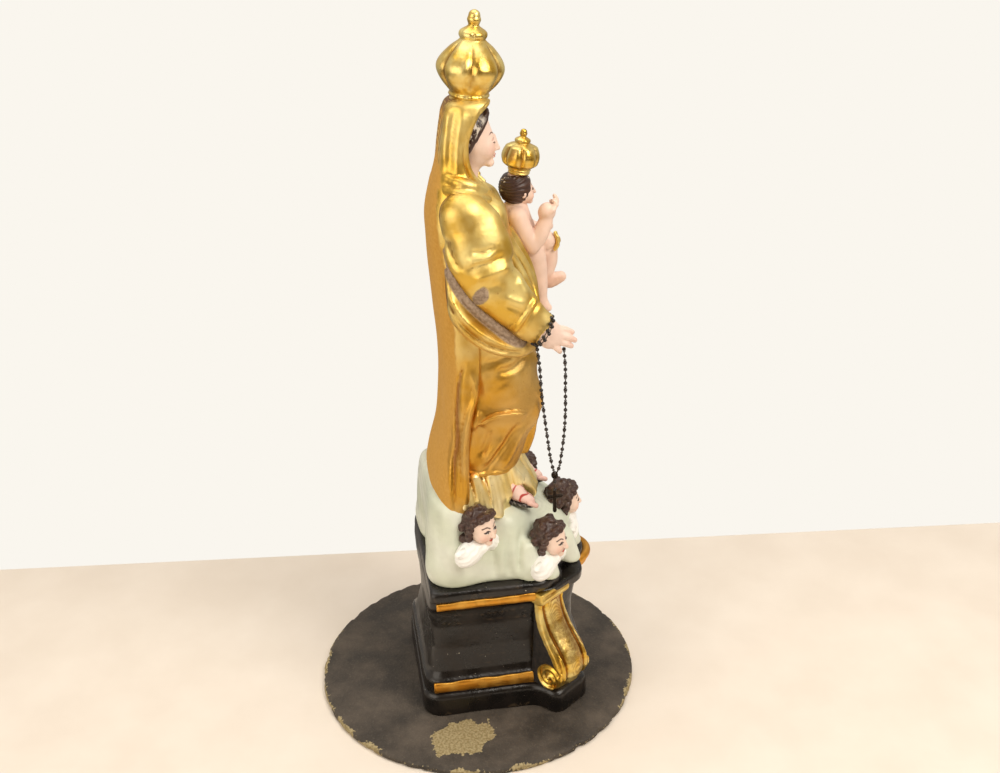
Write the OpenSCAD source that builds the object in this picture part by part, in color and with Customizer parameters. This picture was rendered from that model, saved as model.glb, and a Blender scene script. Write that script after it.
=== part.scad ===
// Crowned Madonna with Child on a cloud of cherub heads, on a black and gilt
// scroll pedestal and a round board. A small rosary hangs from the right hand.
// Millimetres, +Z up. The figure faces -Y, its right side is -X, and the
// origin is the centre of the board's underside.

/* [Board] */
// Radius of the round board
board_r = 125; // [110:1:150]
// Thickness of the round board
board_t = 5; // [4:0.5:8]

/* [Pedestal] */
// Half width of the pedestal at its plinth
pedestal_hw = 60; // [58:1:62]
// Height of the pedestal's top above the board's underside
pedestal_top = 118; // [116:1:120]
// How deep the hollow side panels lie behind the fillets
panel_inset = 7; // [4:1:9]
// Height of the lower gilt fillet
lower_fillet_h = 11; // [8:1:12]
// Height of the upper gilt fillet
upper_fillet_h = 7; // [5:1:8]
// Width of each scroll console
console_w = 34; // [28:1:36]
// Angle of the consoles from the side towards the front, degrees
console_turn = 38; // [34:1:42]

/* [Figure] */
// Height of the cloud's top at the back
cloud_back_z = 196; // [190:1:200]
// Slope of the cloud's top, degrees
cloud_slope = 22; // [18:1:24]
// Height of the Virgin's head centre
head_z = 440; // [438:1:442]

/* [Crowns] */
// Forward lean of the Virgin's crown, degrees
crown_lean = 6; // [4:1:8]
// Widest radius of the Virgin's crown
crown_r = 22; // [20:1:24]
// Height of the Virgin's crown
crown_h = 59; // [55:1:62]
// Widest radius of the Child's crown
child_crown_r = 13; // [12:0.5:14]
// Height of the Child's crown
child_crown_h = 31; // [29:1:33]
// Radius of the dowel under the Virgin's crown
dowel_r = 2.5; // [2:0.25:3]
// Radius of the dowel under the Child's crown
child_dowel_r = 1.3; // [1.2:0.1:1.5]
// Radial clearance of the crowns on their dowels
dowel_gap = 0.08; // [0.05:0.01:0.1]

/* [Rosary] */
// Radius of a rosary bead
bead_r = 1.4; // [1.2:0.1:1.5]
// Distance between beads
bead_pitch = 5.2; // [4.8:0.1:5.6]
// Diameter of the rosary's wire chain
chain_d = 0.6; // [0.5:0.1:0.8]
// Height of the cross
cross_h = 19; // [16:1:20]

/* [Hidden] */

round_fn = 48;
soft_fn = 20;
eps = 0.02;
// Longer than anything that it cuts.
span = 300;
// Thickness of the gilt fillets on the pedestal's sides.
fillet_t = 3;

plinth_top = 25;
lower_fillet_top = plinth_top + lower_fillet_h;
upper_fillet_top = 109;
upper_fillet_z = upper_fillet_top - upper_fillet_h;
pedestal_back = 50;
pedestal_front = -82;
fillet_front = -37;
fillet_back = 41;
console_at = [-50, -50];

// One end of the wire loop is at the wrist, the other between the fingers.
wrist_c = [-42, -45, 317];
wrist_r = 11.6;
loop_route = [[-42, -44, 303], [-42, -46, 285], [-42, -47, 266], [-42, -49, 247],
  [-42, -51, 230], [-42, -53, 214], [-42, -56, 201], [-42, -59, 204], [-42, -61, 215],
  [-42, -63, 232], [-42, -64, 250], [-42, -64, 268], [-42, -64, 284], [-42, -63, 299]];
drop_route = [[-42, -56, 196], [-42, -56, 193], [-42, -56, 190], [-42, -56, 187]];
junction = [-42, -56, 199];

// Points of a smooth curve through a route, with n steps on each stretch.
function curve_point(p, i, t) =
  let (a = p[max(i - 1, 0)], b = p[i], c = p[i + 1], d = p[min(i + 2, len(p) - 1)])
  0.5 * (2 * b + (c - a) * t + (2 * a - 5 * b + 4 * c - d) * t * t
    + (3 * b - a - 3 * c + d) * t * t * t);
function smooth_route(p, n) =
  [for (i = [0:len(p) - 2]) for (k = [0:n - 1]) curve_point(p, i, k / n), p[len(p) - 1]];
function route_length(p, i = 0) =
  i >= len(p) - 1 ? 0 : norm(p[i + 1] - p[i]) + route_length(p, i + 1);
function point_along(p, s, i = 0) =
  let (step = norm(p[i + 1] - p[i]))
  (s <= step || i >= len(p) - 2) ? p[i] + (p[i + 1] - p[i]) * s / step
    : point_along(p, s - step, i + 1);

// A solid tube of diameter d swept along the points p, with 8 sides.
module tube(p, d) {
  sides = 8;
  last = len(p) - 1;
  rings = [for (i = [0:last])
    let (t = p[min(i + 1, last)] - p[max(i - 1, 0)], w = t / norm(t),
      side = abs(w[0]) < 0.9 ? [1, 0, 0] : [0, 1, 0],
      u = cross(w, side) / norm(cross(w, side)), v = cross(w, u))
    for (k = [0:sides - 1])
      p[i] + d / 2 * (u * cos(360 * k / sides) + v * sin(360 * k / sides))];
  walls = [for (i = [0:last - 1]) for (k = [0:sides - 1])
    let (a = i * sides + k, b = i * sides + (k + 1) % sides)
    [a, b, b + sides, a + sides]];
  start = [for (k = [sides - 1:-1:0]) k];
  finish = [for (k = [0:sides - 1]) last * sides + k];
  polyhedron(points = rings, faces = concat([start], walls, [finish]), convexity = 4);
}

// Beads spaced evenly along the points p.
module beads(p, count, first, pitch) {
  for (i = [0:count - 1])
    if (norm(point_along(p, first + i * pitch) - junction) > 2.4 + bead_r)
      translate(point_along(p, first + i * pitch)) sphere(r = bead_r, $fn = 16);
}

// An egg shape with half sizes r at the place c.
module egg(c, r, turn = [0, 0, 0]) {
  translate(c) rotate(turn) scale(r) sphere(r = 1, $fn = soft_fn);
}

// A limb from a to b, with radius ra and rb.
module limb(a, b, ra, rb) {
  hull() {
    translate(a) sphere(r = ra, $fn = 16);
    translate(b) sphere(r = rb, $fn = 16);
  }
}

// A stack of ovals, each [centre y, height z, half width, half depth].
module stack(s) {
  for (i = [0:len(s) - 2])
    hull() {
      translate([0, s[i][0], s[i][1]]) scale([s[i][2], s[i][3], 1]) cylinder(r = 1, h = eps, $fn = 28);
      translate([0, s[i + 1][0], s[i + 1][1]]) scale([s[i + 1][2], s[i + 1][3], 1])
        cylinder(r = 1, h = eps, $fn = 28);
    }
}

// Everything above the sloping top of the cloud.
module above_cloud() {
  translate([0, 38, cloud_back_z]) rotate([cloud_slope, 0, 0]) translate([-span / 2, -200, 0])
    cube([span, span, 400]);
}

module pair(side) {
  if (side > 0) mirror([1, 0, 0]) children(); else children();
}

module round_board() {
  color("dimgray") cylinder(r = board_r, h = board_t, $fn = 96);
}

// The pedestal's outline, drawn inside by inset, without the corner blocks.
module pedestal_plan(inset) {
  w = pedestal_hw - inset;
  polygon([[-w, pedestal_back - 9], [-w + 14, pedestal_back - inset], [w - 14, pedestal_back - inset],
    [w, pedestal_back - 9], [w, pedestal_front + 30], [w - 22, pedestal_front + inset],
    [-w + 22, pedestal_front + inset], [-w, pedestal_front + 30]]);
}

// A point beside a console: out from its foot by reach, forward by side.
function console_point(reach, side) =
  let (out = [-cos(console_turn), -sin(console_turn)], across = [sin(console_turn), -cos(console_turn)])
  console_at + reach * out + side * across;

// The right half of an outline with a block under the console, from back to front.
function block_outline(inset, reach, half, bow) =
  [[-pedestal_hw + inset + 14, pedestal_back - inset], [-pedestal_hw + inset, pedestal_back - 9],
    [-pedestal_hw + inset, fillet_front], console_point(reach, -half + 3), console_point(reach, half + 6),
    console_point(reach - 12, half + 6), [-16, pedestal_front - bow]];

// The whole outline, the left half mirrored from the right.
module block_plan(inset, reach, half, bow) {
  right = block_outline(inset, reach, half, bow);
  last = len(right) - 1;
  polygon(concat(right, [for (i = [last:-1:0]) [-right[i][0], right[i][1]]]));
}

module pedestal_plinth() {
  color([0.08, 0.07, 0.07]) translate([0, 0, board_t]) linear_extrude(plinth_top - board_t)
    block_plan(0, 21, 18, 0);
}

module pedestal_die() {
  color([0.08, 0.07, 0.07]) translate([0, 0, plinth_top]) difference() {
    union() {
      linear_extrude(lower_fillet_h) pedestal_plan(fillet_t);
      linear_extrude(upper_fillet_z - plinth_top) pedestal_plan(panel_inset + 1);
      translate([0, 0, upper_fillet_z - plinth_top]) linear_extrude(upper_fillet_h) pedestal_plan(fillet_t);
    }
    translate([0, 0, -plinth_top]) console_block(-1);
    translate([0, 0, -plinth_top]) console_block(1);
  }
}

module pedestal_cornice() {
  color([0.08, 0.07, 0.07]) translate([0, 0, upper_fillet_top])
    linear_extrude(pedestal_top - upper_fillet_top) block_plan(2, 5, 12, 4);
}

// A gilt strip on the pedestal's side, from the back corner to the console.
module side_fillet(side, z, h) {
  pair(side) translate([-pedestal_hw, fillet_front, z])
    cube([fillet_t, fillet_back - fillet_front - fillet_t, h]);
}

module lower_fillet_right() { color("goldenrod") side_fillet(-1, plinth_top + 1, lower_fillet_h - 1); }
module lower_fillet_left() { color("goldenrod") side_fillet(1, plinth_top + 1, lower_fillet_h - 1); }
module upper_fillet_right() { color("goldenrod") side_fillet(-1, upper_fillet_z, upper_fillet_h); }
module upper_fillet_left() { color("goldenrod") side_fillet(1, upper_fillet_z, upper_fillet_h); }

// The bowed gilt moulding on the front, between the consoles.
module front_moulding() {
  color("goldenrod") translate([0, 0, upper_fillet_z - 3]) difference() {
    intersection() {
      translate([0, pedestal_front + 20, 0]) cylinder(r = 27, h = upper_fillet_h + 3 - eps, $fn = round_fn);
      translate([-19, pedestal_front - 12, -1]) cube([38, 15, 20]);
    }
    translate([0, 0, -1]) linear_extrude(20) pedestal_plan(fillet_t);
  }
}

// The outline of a console's flank, [out, up]: a volute at the foot, swept in to the top.
console_profile = [[-7, plinth_top], [14, plinth_top], [21, 28], [26, 36], [28, 46], [26, 55],
  [20, 63], [12, 73], [6, 84], [3, 95], [2, upper_fillet_top], [-7, upper_fillet_top]];

// The scroll console in its own plane: x outwards, z up, centred on its width.
module console_block(side) {
  pair(side) translate([console_at[0], console_at[1], 0]) rotate([0, 0, 180 + console_turn]) rotate([90, 0, 0])
    linear_extrude(console_w, center = true) polygon(console_profile);
}

module console(side) {
  difference() {
    console_block(side);
    for (s = [-1, 1]) side_fillet(s, plinth_top, lower_fillet_h);
    for (s = [-1, 1]) side_fillet(s, upper_fillet_z, upper_fillet_h);
    translate([-span / 2, -span / 2, upper_fillet_top]) cube([span, span, 20]);
  }
}

module scroll_console_right() { color("gold") console(-1); }
module scroll_console_left() { color("gold") console(1); }

module cloud_mass() {
  intersection() {
    hull() {
      for (x = [-1, 1]) {
        egg([x * 32, 20, 140], [18, 18, 26]);
        egg([x * 30, 18, 180], [18, 18, 24]);
        egg([x * 32, -20, 136], [19, 18, 24]);
        egg([x * 26, -52, 132], [18, 18, 20]);
      }
    }
    translate([-span / 2, -span / 2, pedestal_top]) cube([span, span, span]);
  }
}

module cloud_body() {
  difference() {
    cloud_mass();
    above_cloud();
  }
}

module cloud() {
  color("honeydew") cloud_body();
}

// A winged cherub head: the head and its curls, and the wings folded below the chin.
module cherub(c, turn) {
  difference() {
    translate(c) rotate([0, 0, turn]) {
      egg([0, -1, 2], [12, 12, 14]);
      egg([-9, -1, -15], [12, 8, 9], [0, 20, 0]);
      egg([9, -1, -15], [12, 8, 9], [0, -20, 0]);
    }
    cloud_body();
    stack(mantle_rows);
    stack(under_rows);
  }
}

module cherub_right_back() { color("peachpuff") cherub([-51, 1, 169], -48); }
module cherub_right_front() { color("peachpuff") cherub([-44, -52, 147], -34); }
module cherub_front() { color("peachpuff") cherub([0, -71, 152], 6); }
module cherub_left() { color("peachpuff") cherub([44, -46, 156], 55); }

// A foot on its thin sandal sole, the toes turned out by turn.
module foot(c, turn) {
  translate(c) rotate([cloud_slope - 8, 0, turn]) difference() {
    hull() {
      egg([0, 2, 7], [6, 8, 7]);
      egg([0, -11, 4], [6, 7, 4]);
    }
    translate([-20, -30, -10]) cube([40, 60, 12]);
  }
}

module sandal(c, turn) {
  translate(c) rotate([cloud_slope - 8, 0, turn]) translate([0, 0, -1]) difference() {
    translate([0, -4, 0]) scale([0.5, 1, 1]) cylinder(r = 14, h = 3, $fn = 28);
    translate([-20, -30, 3]) cube([40, 60, 12]);
  }
}

right_foot_at = [-25, -28, 171];
left_foot_at = [14, -42, 165];

module foot_shapes() {
  foot(right_foot_at, -12);
  foot(left_foot_at, 12);
  sandal(right_foot_at, -12);
  sandal(left_foot_at, 12);
}

module foot_right() { color("pink") intersection() { foot(right_foot_at, -12); above_cloud(); } }
module foot_left() { color("pink") intersection() { foot(left_foot_at, 12); above_cloud(); } }
module sandal_right() { color("black") intersection() { sandal(right_foot_at, -12); above_cloud(); } }
module sandal_left() { color("black") intersection() { sandal(left_foot_at, 12); above_cloud(); } }

robe_rows = [[-14, 186, 38, 24], [-16, 205, 37, 24], [-22, 235, 36, 30], [-23, 262, 35, 29],
  [-21, 300, 34, 26], [-14, 330, 32, 20], [-11, 370, 32, 19], [-6, 396, 28, 14], [-7, 406, 13, 9]];
under_rows = [[-10, 150, 38, 24], [-16, 176, 37, 26], [-14, 186, 36, 23]];
mantle_rows = [[-6, 150, 47, 27], [-6, 205, 47, 27], [-9, 240, 44, 25], [-11, 290, 40, 23],
  [-8, 350, 37, 23], [-1, 390, 35, 19], [1, 406, 24, 14]];
veil_rows = [[1, 406.3, 22, 14], [-1, 424, 18, 16], [-5, 446, 17, 16], [-7, 459, 15, 13]];

module under_robe() {
  color("gold") difference() {
    intersection() {
      stack(under_rows);
      above_cloud();
    }
    foot_shapes();
  }
}

module robe() {
  color("goldenrod") difference() {
    intersection() {
      stack(robe_rows);
      above_cloud();
    }
    foot_shapes();
    stack(under_rows);
  }
}

module mantle() {
  color("gold") difference() {
    intersection() {
      stack(mantle_rows);
      above_cloud();
      translate([-100, -12, 0]) cube([200, 100, 500]);
    }
    stack(robe_rows);
    stack(under_rows);
    arm_right();
    arm_left();
  }
}

// The gathered roll of the mantle that sweeps forward under the right sleeve.
module swag_roll() {
  limb([-38, 4, 350], [-38, -12, 318], 8, 8);
  limb([-38, -12, 318], [-30, -38, 302], 8, 8);
  limb([-30, -38, 302], [0, -46, 300], 8, 7);
  limb([0, -46, 300], [26, -40, 312], 7, 7);
}

module mantle_swag() {
  color("gold") difference() {
    swag_roll();
    translate(wrist_c) sphere(r = wrist_r + bead_r + 0.8, $fn = 32);
    stack(robe_rows);
    stack(mantle_rows);
    arm_right();
    arm_left();
  }
}

module head_shape() {
  egg([0, -11, head_z], [14, 16, 22]);
  translate([0, -8, 406]) cylinder(r = 8, h = 20, $fn = 28);
}

// The dowel's axis leans forward with the crown.
module on_crown_axis() {
  translate([0, -8, 464]) rotate([crown_lean, 0, 0]) children();
}

module virgin_head() {
  color("mistyrose") difference() {
    head_shape();
    on_crown_axis() translate([0, 0, -14]) cylinder(r = dowel_r, h = 30, $fn = round_fn);
  }
}

module veil() {
  color("gold") difference() {
    stack(veil_rows);
    hull() egg([0, -11, head_z], [15, 17, 23]);
    hull() translate([0, -8, 400]) cylinder(r = 9, h = 30, $fn = 28);
    translate([-30, -60, 400]) cube([60, 49, 70]);
  }
}

module arm_right() {
  limb([-32, 0, 394], [-40, -4, 362], 14, 15);
  limb([-40, -4, 362], [-41, -34, 326], 15, 13);
}

module arm_left() {
  limb([32, 0, 394], [41, -4, 362], 14, 14);
  limb([41, -4, 362], [34, -30, 340], 14, 11);
}

// The wrist's axis: forward and down.
module on_wrist() {
  translate(wrist_c) rotate([-54 + 180, 0, 0]) children();
}

module sleeve_right() {
  color("gold") difference() {
    arm_right();
    stack(robe_rows);
    on_wrist() translate([0, 0, -1]) cylinder(r = 30, h = 60, $fn = round_fn);
    on_wrist() translate([0, 0, -15]) cylinder(r = dowel_r, h = 30, $fn = round_fn);
  }
}

module sleeve_left() {
  color("gold") difference() {
    arm_left();
    stack(robe_rows);
  }
}

module hand_right_dowel() {
  color("burlywood") on_wrist() translate([0, 0, -13]) cylinder(r = dowel_r, h = 20, $fn = round_fn);
}

module hand_right() {
  color("mistyrose") difference() {
    union() {
      limb([-42, -47, 316], [-42, -56, 311], 9.5, 8.5);
      limb([-42, -56, 311], [-40, -70, 306], 7, 3.5);
      limb([-44, -55, 308], [-46, -60, 300], 6, 3.5);
    }
    on_wrist() translate([0, 0, -80]) cylinder(r = 60, h = 79.9, $fn = round_fn);
    on_wrist() translate([0, 0, -14]) cylinder(r = dowel_r, h = 21.1, $fn = round_fn);
  }
}

module hand_left() {
  color("mistyrose") difference() {
    limb([32, -38, 337], [22, -50, 334], 8, 6);
    arm_left();
    stack(robe_rows);
    swag_roll();
  }
}

child_head_at = [20, -43, 396];
child_lean = 8;

module child_head_shape() {
  egg(child_head_at, [11, 12, 13]);
}

module torso_shape() {
  hull() {
    egg([20, -42, 377], [12, 10, 9]);
    egg([21, -49, 355], [13, 11, 10]);
  }
}

module child_fixed() {
  stack(robe_rows);
  arm_left();
  limb([32, -38, 337], [22, -50, 334], 8, 6);
  swag_roll();
}

module on_child_crown_axis() {
  translate(child_head_at + [0, -1, 11]) rotate([child_lean, 0, 0]) children();
}

module child_torso() {
  color("pink") difference() {
    torso_shape();
    child_fixed();
  }
}

module child_head() {
  color("saddlebrown") difference() {
    child_head_shape();
    torso_shape();
    stack(robe_rows);
    on_child_crown_axis() translate([0, 0, -8]) cylinder(r = child_dowel_r, h = 20, $fn = round_fn);
    on_child_crown_axis() translate([-20, -20, 0]) cube([40, 40, 20]);
  }
}

module right_arm_shape() {
  limb([9, -42, 377], [6, -48, 358], 5.5, 5.5);
  limb([6, -48, 358], [8, -60, 376], 5.5, 4.5);
  translate([9, -62, 382]) sphere(r = 6, $fn = soft_fn);
}

module left_arm_shape() {
  limb([31, -45, 377], [36, -54, 362], 5.5, 5);
  limb([36, -54, 362], [31, -65, 362], 5, 4.5);
}

module child_arm_right() {
  color("pink") difference() {
    right_arm_shape();
    torso_shape();
    child_head_shape();
    stack(robe_rows);
  }
}

module child_arm_left() {
  color("pink") difference() {
    left_arm_shape();
    torso_shape();
    child_head_shape();
    child_fixed();
  }
}

module right_leg_shape() {
  limb([17, -53, 350], [16, -57, 338], 8.5, 7.5);
  limb([16, -57, 338], [15, -59, 311], 7.5, 4.5);
}

module left_leg_shape() {
  limb([27, -57, 351], [28, -65, 346], 8, 7.5);
  limb([28, -65, 346], [29, -66, 330], 7, 5);
  limb([29, -65, 327], [29, -76, 327], 4.5, 3.5);
}

module child_leg_right() {
  color("pink") difference() {
    right_leg_shape();
    torso_shape();
    child_fixed();
  }
}

module child_leg_left() {
  color("pink") difference() {
    left_leg_shape();
    torso_shape();
    right_leg_shape();
    child_fixed();
  }
}

module child_cloth() {
  color("gold") difference() {
    hull() {
      egg([22, -56, 355], [13, 9, 7]);
      egg([24, -64, 354], [9, 6, 6]);
    }
    torso_shape();
    right_leg_shape();
    left_leg_shape();
    left_arm_shape();
    right_arm_shape();
    child_fixed();
  }
}

module crown_dowel() {
  color("burlywood") on_crown_axis() translate([0, 0, -14]) cylinder(r = dowel_r, h = 26, $fn = round_fn);
}

// A closed crown: ring, big bulb, small bulb and finial, r wide and h high.
module crown_body(r, h) {
  rotate_extrude($fn = round_fn) polygon([[0, 0], [0.59 * r, 0], [0.6 * r, 0.09 * h],
    [0.54 * r, 0.12 * h], [0.62 * r, 0.16 * h], [0.88 * r, 0.24 * h], [r, 0.33 * h],
    [0.94 * r, 0.42 * h], [0.7 * r, 0.53 * h], [0.42 * r, 0.62 * h], [0.37 * r, 0.66 * h],
    [0.43 * r, 0.73 * h], [0.38 * r, 0.79 * h], [0.2 * r, 0.84 * h], [0.17 * r, 0.88 * h],
    [0.2 * r, 0.93 * h], [0.12 * r, 0.98 * h], [0, h]]);
}

module virgin_crown() {
  color("gold") on_crown_axis() translate([0, 0, 0.1]) difference() {
    crown_body(crown_r, crown_h);
    translate([0, 0, -1]) cylinder(r = dowel_r + dowel_gap, h = 15, $fn = round_fn);
  }
}

module child_crown_dowel() {
  color("burlywood") on_child_crown_axis() translate([0, 0, -8])
    cylinder(r = child_dowel_r, h = 15, $fn = round_fn);
}

module child_crown() {
  color("gold") on_child_crown_axis() translate([0, 0, 0.1]) difference() {
    crown_body(child_crown_r, child_crown_h);
    translate([0, 0, -1]) cylinder(r = child_dowel_r + dowel_gap, h = 9, $fn = round_fn);
  }
}

// Two turns of the rosary round the wrist, climbing the forearm's axis.
wrap_turns = 2;
wrap_path = [for (a = [0:18:360 * wrap_turns])
  let (c = wrist_r * cos(a), s = wrist_r * sin(a), up = 1.2 + 4 * a / (360 * wrap_turns))
  wrist_c + [s, c * 0.588 - up * 0.809, -c * 0.809 - up * 0.588]];

module rosary_wrap_chain() { color("dimgray") tube(wrap_path, chain_d); }

module rosary_wrap_beads() {
  color("black") beads(wrap_path, floor(route_length(wrap_path) / bead_pitch), 2, bead_pitch);
}

loop_path = smooth_route(loop_route, 2);

module rosary_loop_chain() { color("dimgray") tube(loop_path, chain_d); }

module rosary_loop_beads() {
  color("black") beads(loop_path, floor((route_length(loop_path) - 3) / bead_pitch), 3, bead_pitch);
}

module rosary_medal() {
  color("dimgray") translate(junction) rotate([0, 90, 0])
    cylinder(r = 2.4, h = 1.6, center = true, $fn = 24);
}

module rosary_drop_chain() { color("dimgray") tube(drop_route, chain_d); }
module rosary_drop_beads() { color("black") beads(drop_route, 2, 2.4, 4); }

module rosary_cross() {
  color("dimgray") translate(drop_route[3]) {
    translate([-0.9, -1.4, -cross_h]) cube([1.8, 2.8, cross_h]);
    translate([-0.9, -5.5, -0.42 * cross_h]) cube([1.8, 11, 2.8]);
  }
}

round_board();
pedestal_plinth();
pedestal_die();
pedestal_cornice();
lower_fillet_right();
lower_fillet_left();
upper_fillet_right();
upper_fillet_left();
front_moulding();
scroll_console_right();
scroll_console_left();
cloud();
cherub_right_back();
cherub_right_front();
cherub_front();
cherub_left();
foot_right();
foot_left();
sandal_right();
sandal_left();
under_robe();
robe();
mantle();
mantle_swag();
veil();
virgin_head();
sleeve_right();
sleeve_left();
hand_right_dowel();
hand_right();
hand_left();
child_torso();
child_head();
child_arm_right();
child_arm_left();
child_leg_right();
child_leg_left();
child_cloth();
crown_dowel();
virgin_crown();
child_crown_dowel();
child_crown();
rosary_wrap_chain();
rosary_wrap_beads();
rosary_loop_chain();
rosary_loop_beads();
rosary_medal();
rosary_drop_chain();
rosary_drop_beads();
rosary_cross();
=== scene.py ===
"""A painted and gilded Madonna with Child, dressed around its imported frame.

Sizes are in millimetres in the row frame, and turned to metres when a mesh is made.
"""

import logging
import math
from collections.abc import Callable, Sequence
from dataclasses import dataclass, field
from enum import Enum

import bpy
import numpy as np
from mathutils import Matrix, Vector


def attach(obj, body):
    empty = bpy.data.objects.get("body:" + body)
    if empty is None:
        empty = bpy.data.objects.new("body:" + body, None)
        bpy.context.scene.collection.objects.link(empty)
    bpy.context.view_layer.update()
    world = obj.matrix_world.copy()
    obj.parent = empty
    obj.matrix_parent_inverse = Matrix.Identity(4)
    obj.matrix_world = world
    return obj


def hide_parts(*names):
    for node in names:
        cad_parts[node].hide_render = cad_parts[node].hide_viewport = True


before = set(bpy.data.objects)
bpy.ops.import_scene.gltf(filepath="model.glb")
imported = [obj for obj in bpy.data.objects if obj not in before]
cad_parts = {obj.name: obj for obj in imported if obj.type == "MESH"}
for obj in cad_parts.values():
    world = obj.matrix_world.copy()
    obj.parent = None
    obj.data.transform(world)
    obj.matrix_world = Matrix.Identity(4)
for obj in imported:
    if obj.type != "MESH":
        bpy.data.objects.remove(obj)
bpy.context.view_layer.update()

logging.basicConfig(level=logging.INFO, format="%(message)s")
log = logging.getLogger("madonna")

MM = 0.001
FAR = 40.0
SEED = 11
Vec = tuple[float, float, float]
Flat = tuple[float, float]
Grid = tuple[np.ndarray, np.ndarray, np.ndarray]


class Side(Enum):
    """The statue's own right and left."""

    RIGHT = -1
    LEFT = 1


def linear(code: str) -> tuple[float, float, float, float]:
    """Turns an sRGB hex colour into linear red, green, blue and alpha.

    Args:
        code: Six hex digits, such as "D4A03A".

    Returns:
        Four linear values.
    """
    values = [int(code[i : i + 2], 16) / 255 for i in (0, 2, 4)]
    out = [v / 12.92 if v <= 0.04045 else ((v + 0.055) / 1.055) ** 2.4 for v in values]
    return out[0], out[1], out[2], 1.0


def rgb(code: str) -> np.ndarray:
    """The linear red, green and blue of a hex colour, as an array."""
    return np.array(linear(code)[:3])


def smooth(low: float, high: float, x: np.ndarray) -> np.ndarray:
    """An S-shaped step from 0 at low to 1 at high."""
    t = np.clip((x - low) / (high - low), 0, 1)
    return t * t * (3 - 2 * t)


def turn_matrix(turn: Vec) -> np.ndarray:
    """The matrix that turns about X, then Y, then Z, by degrees."""
    a, b, c = np.radians(turn)
    rx = np.array([[1, 0, 0], [0, np.cos(a), -np.sin(a)], [0, np.sin(a), np.cos(a)]])
    ry = np.array([[np.cos(b), 0, np.sin(b)], [0, 1, 0], [-np.sin(b), 0, np.cos(b)]])
    rz = np.array([[np.cos(c), -np.sin(c), 0], [np.sin(c), np.cos(c), 0], [0, 0, 1]])
    return rz @ ry @ rx


def curve_through(points: Sequence[Sequence[float]], steps: int) -> np.ndarray:
    """Points of a smooth curve through a few given ones.

    Args:
        points: The points to pass through.
        steps: How many steps to take on each stretch.

    Returns:
        The points of the curve, one row each.
    """
    p = np.array(points, float)
    if steps < 2:
        return p
    out = []
    last = len(p) - 1
    for i in range(last):
        a, b, c, d = p[max(i - 1, 0)], p[i], p[i + 1], p[min(i + 2, last)]
        for t in np.arange(steps) / steps:
            out.append(
                0.5
                * (
                    2 * b
                    + (c - a) * t
                    + (2 * a - 5 * b + 4 * c - d) * t**2
                    + (3 * b - a - 3 * c + d) * t**3
                )
            )
    out.append(p[last])
    return np.array(out)


def eased(x: np.ndarray, at: Sequence[float], values: Sequence[float]) -> np.ndarray:
    """Smoothly interpolates values at the places at, which rise."""
    xs, vs = np.array(at, float), np.array(values, float)
    slope = np.gradient(vs, xs)
    i = np.clip(np.searchsorted(xs, x) - 1, 0, len(xs) - 2)
    h = xs[i + 1] - xs[i]
    t = np.clip((x - xs[i]) / h, 0, 1)
    a = (2 * t**3 - 3 * t**2 + 1) * vs[i] + (t**3 - 2 * t**2 + t) * h * slope[i]
    return a + (3 * t**2 - 2 * t**3) * vs[i + 1] + (t**3 - t**2) * h * slope[i + 1]


def grain(p: np.ndarray, size: float, seed: int = SEED) -> np.ndarray:
    """A smooth random value from -1 to 1 at each point, varying over about size millimetres."""
    rng = np.random.default_rng(seed)
    total = np.zeros(len(p))
    for _ in range(7):
        way = rng.normal(size=3)
        way /= np.linalg.norm(way)
        total += np.sin(p @ way * 2 * np.pi / (size * rng.uniform(0.7, 1.6)) + rng.uniform(0, 6.3))
    return np.clip(total / 3.2, -1, 1)


# ---------------------------------------------------------------- shapes


@dataclass(frozen=True)
class Egg:
    """An oval with half sizes r at the place c, turned by degrees."""

    c: Vec
    r: Vec
    turn: Vec = (0, 0, 0)

    def box(self) -> tuple[np.ndarray, np.ndarray]:
        """Its lowest and highest corners."""
        reach = np.abs(turn_matrix(self.turn)) @ np.array(self.r)
        return np.array(self.c) - reach, np.array(self.c) + reach

    def distance(self, x: np.ndarray, y: np.ndarray, z: np.ndarray) -> np.ndarray:
        """The distance of each point from the surface, negative inside."""
        m = turn_matrix(self.turn).T
        p = [x - self.c[0], y - self.c[1], z - self.c[2]]
        if self.turn != (0, 0, 0):
            p = [m[i, 0] * p[0] + m[i, 1] * p[1] + m[i, 2] * p[2] for i in range(3)]
        k0 = np.sqrt(sum((p[i] / self.r[i]) ** 2 for i in range(3)))
        k1 = np.sqrt(sum((p[i] / self.r[i] ** 2) ** 2 for i in range(3)))
        return k0 * (k0 - 1) / np.maximum(k1, 1e-4)


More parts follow.
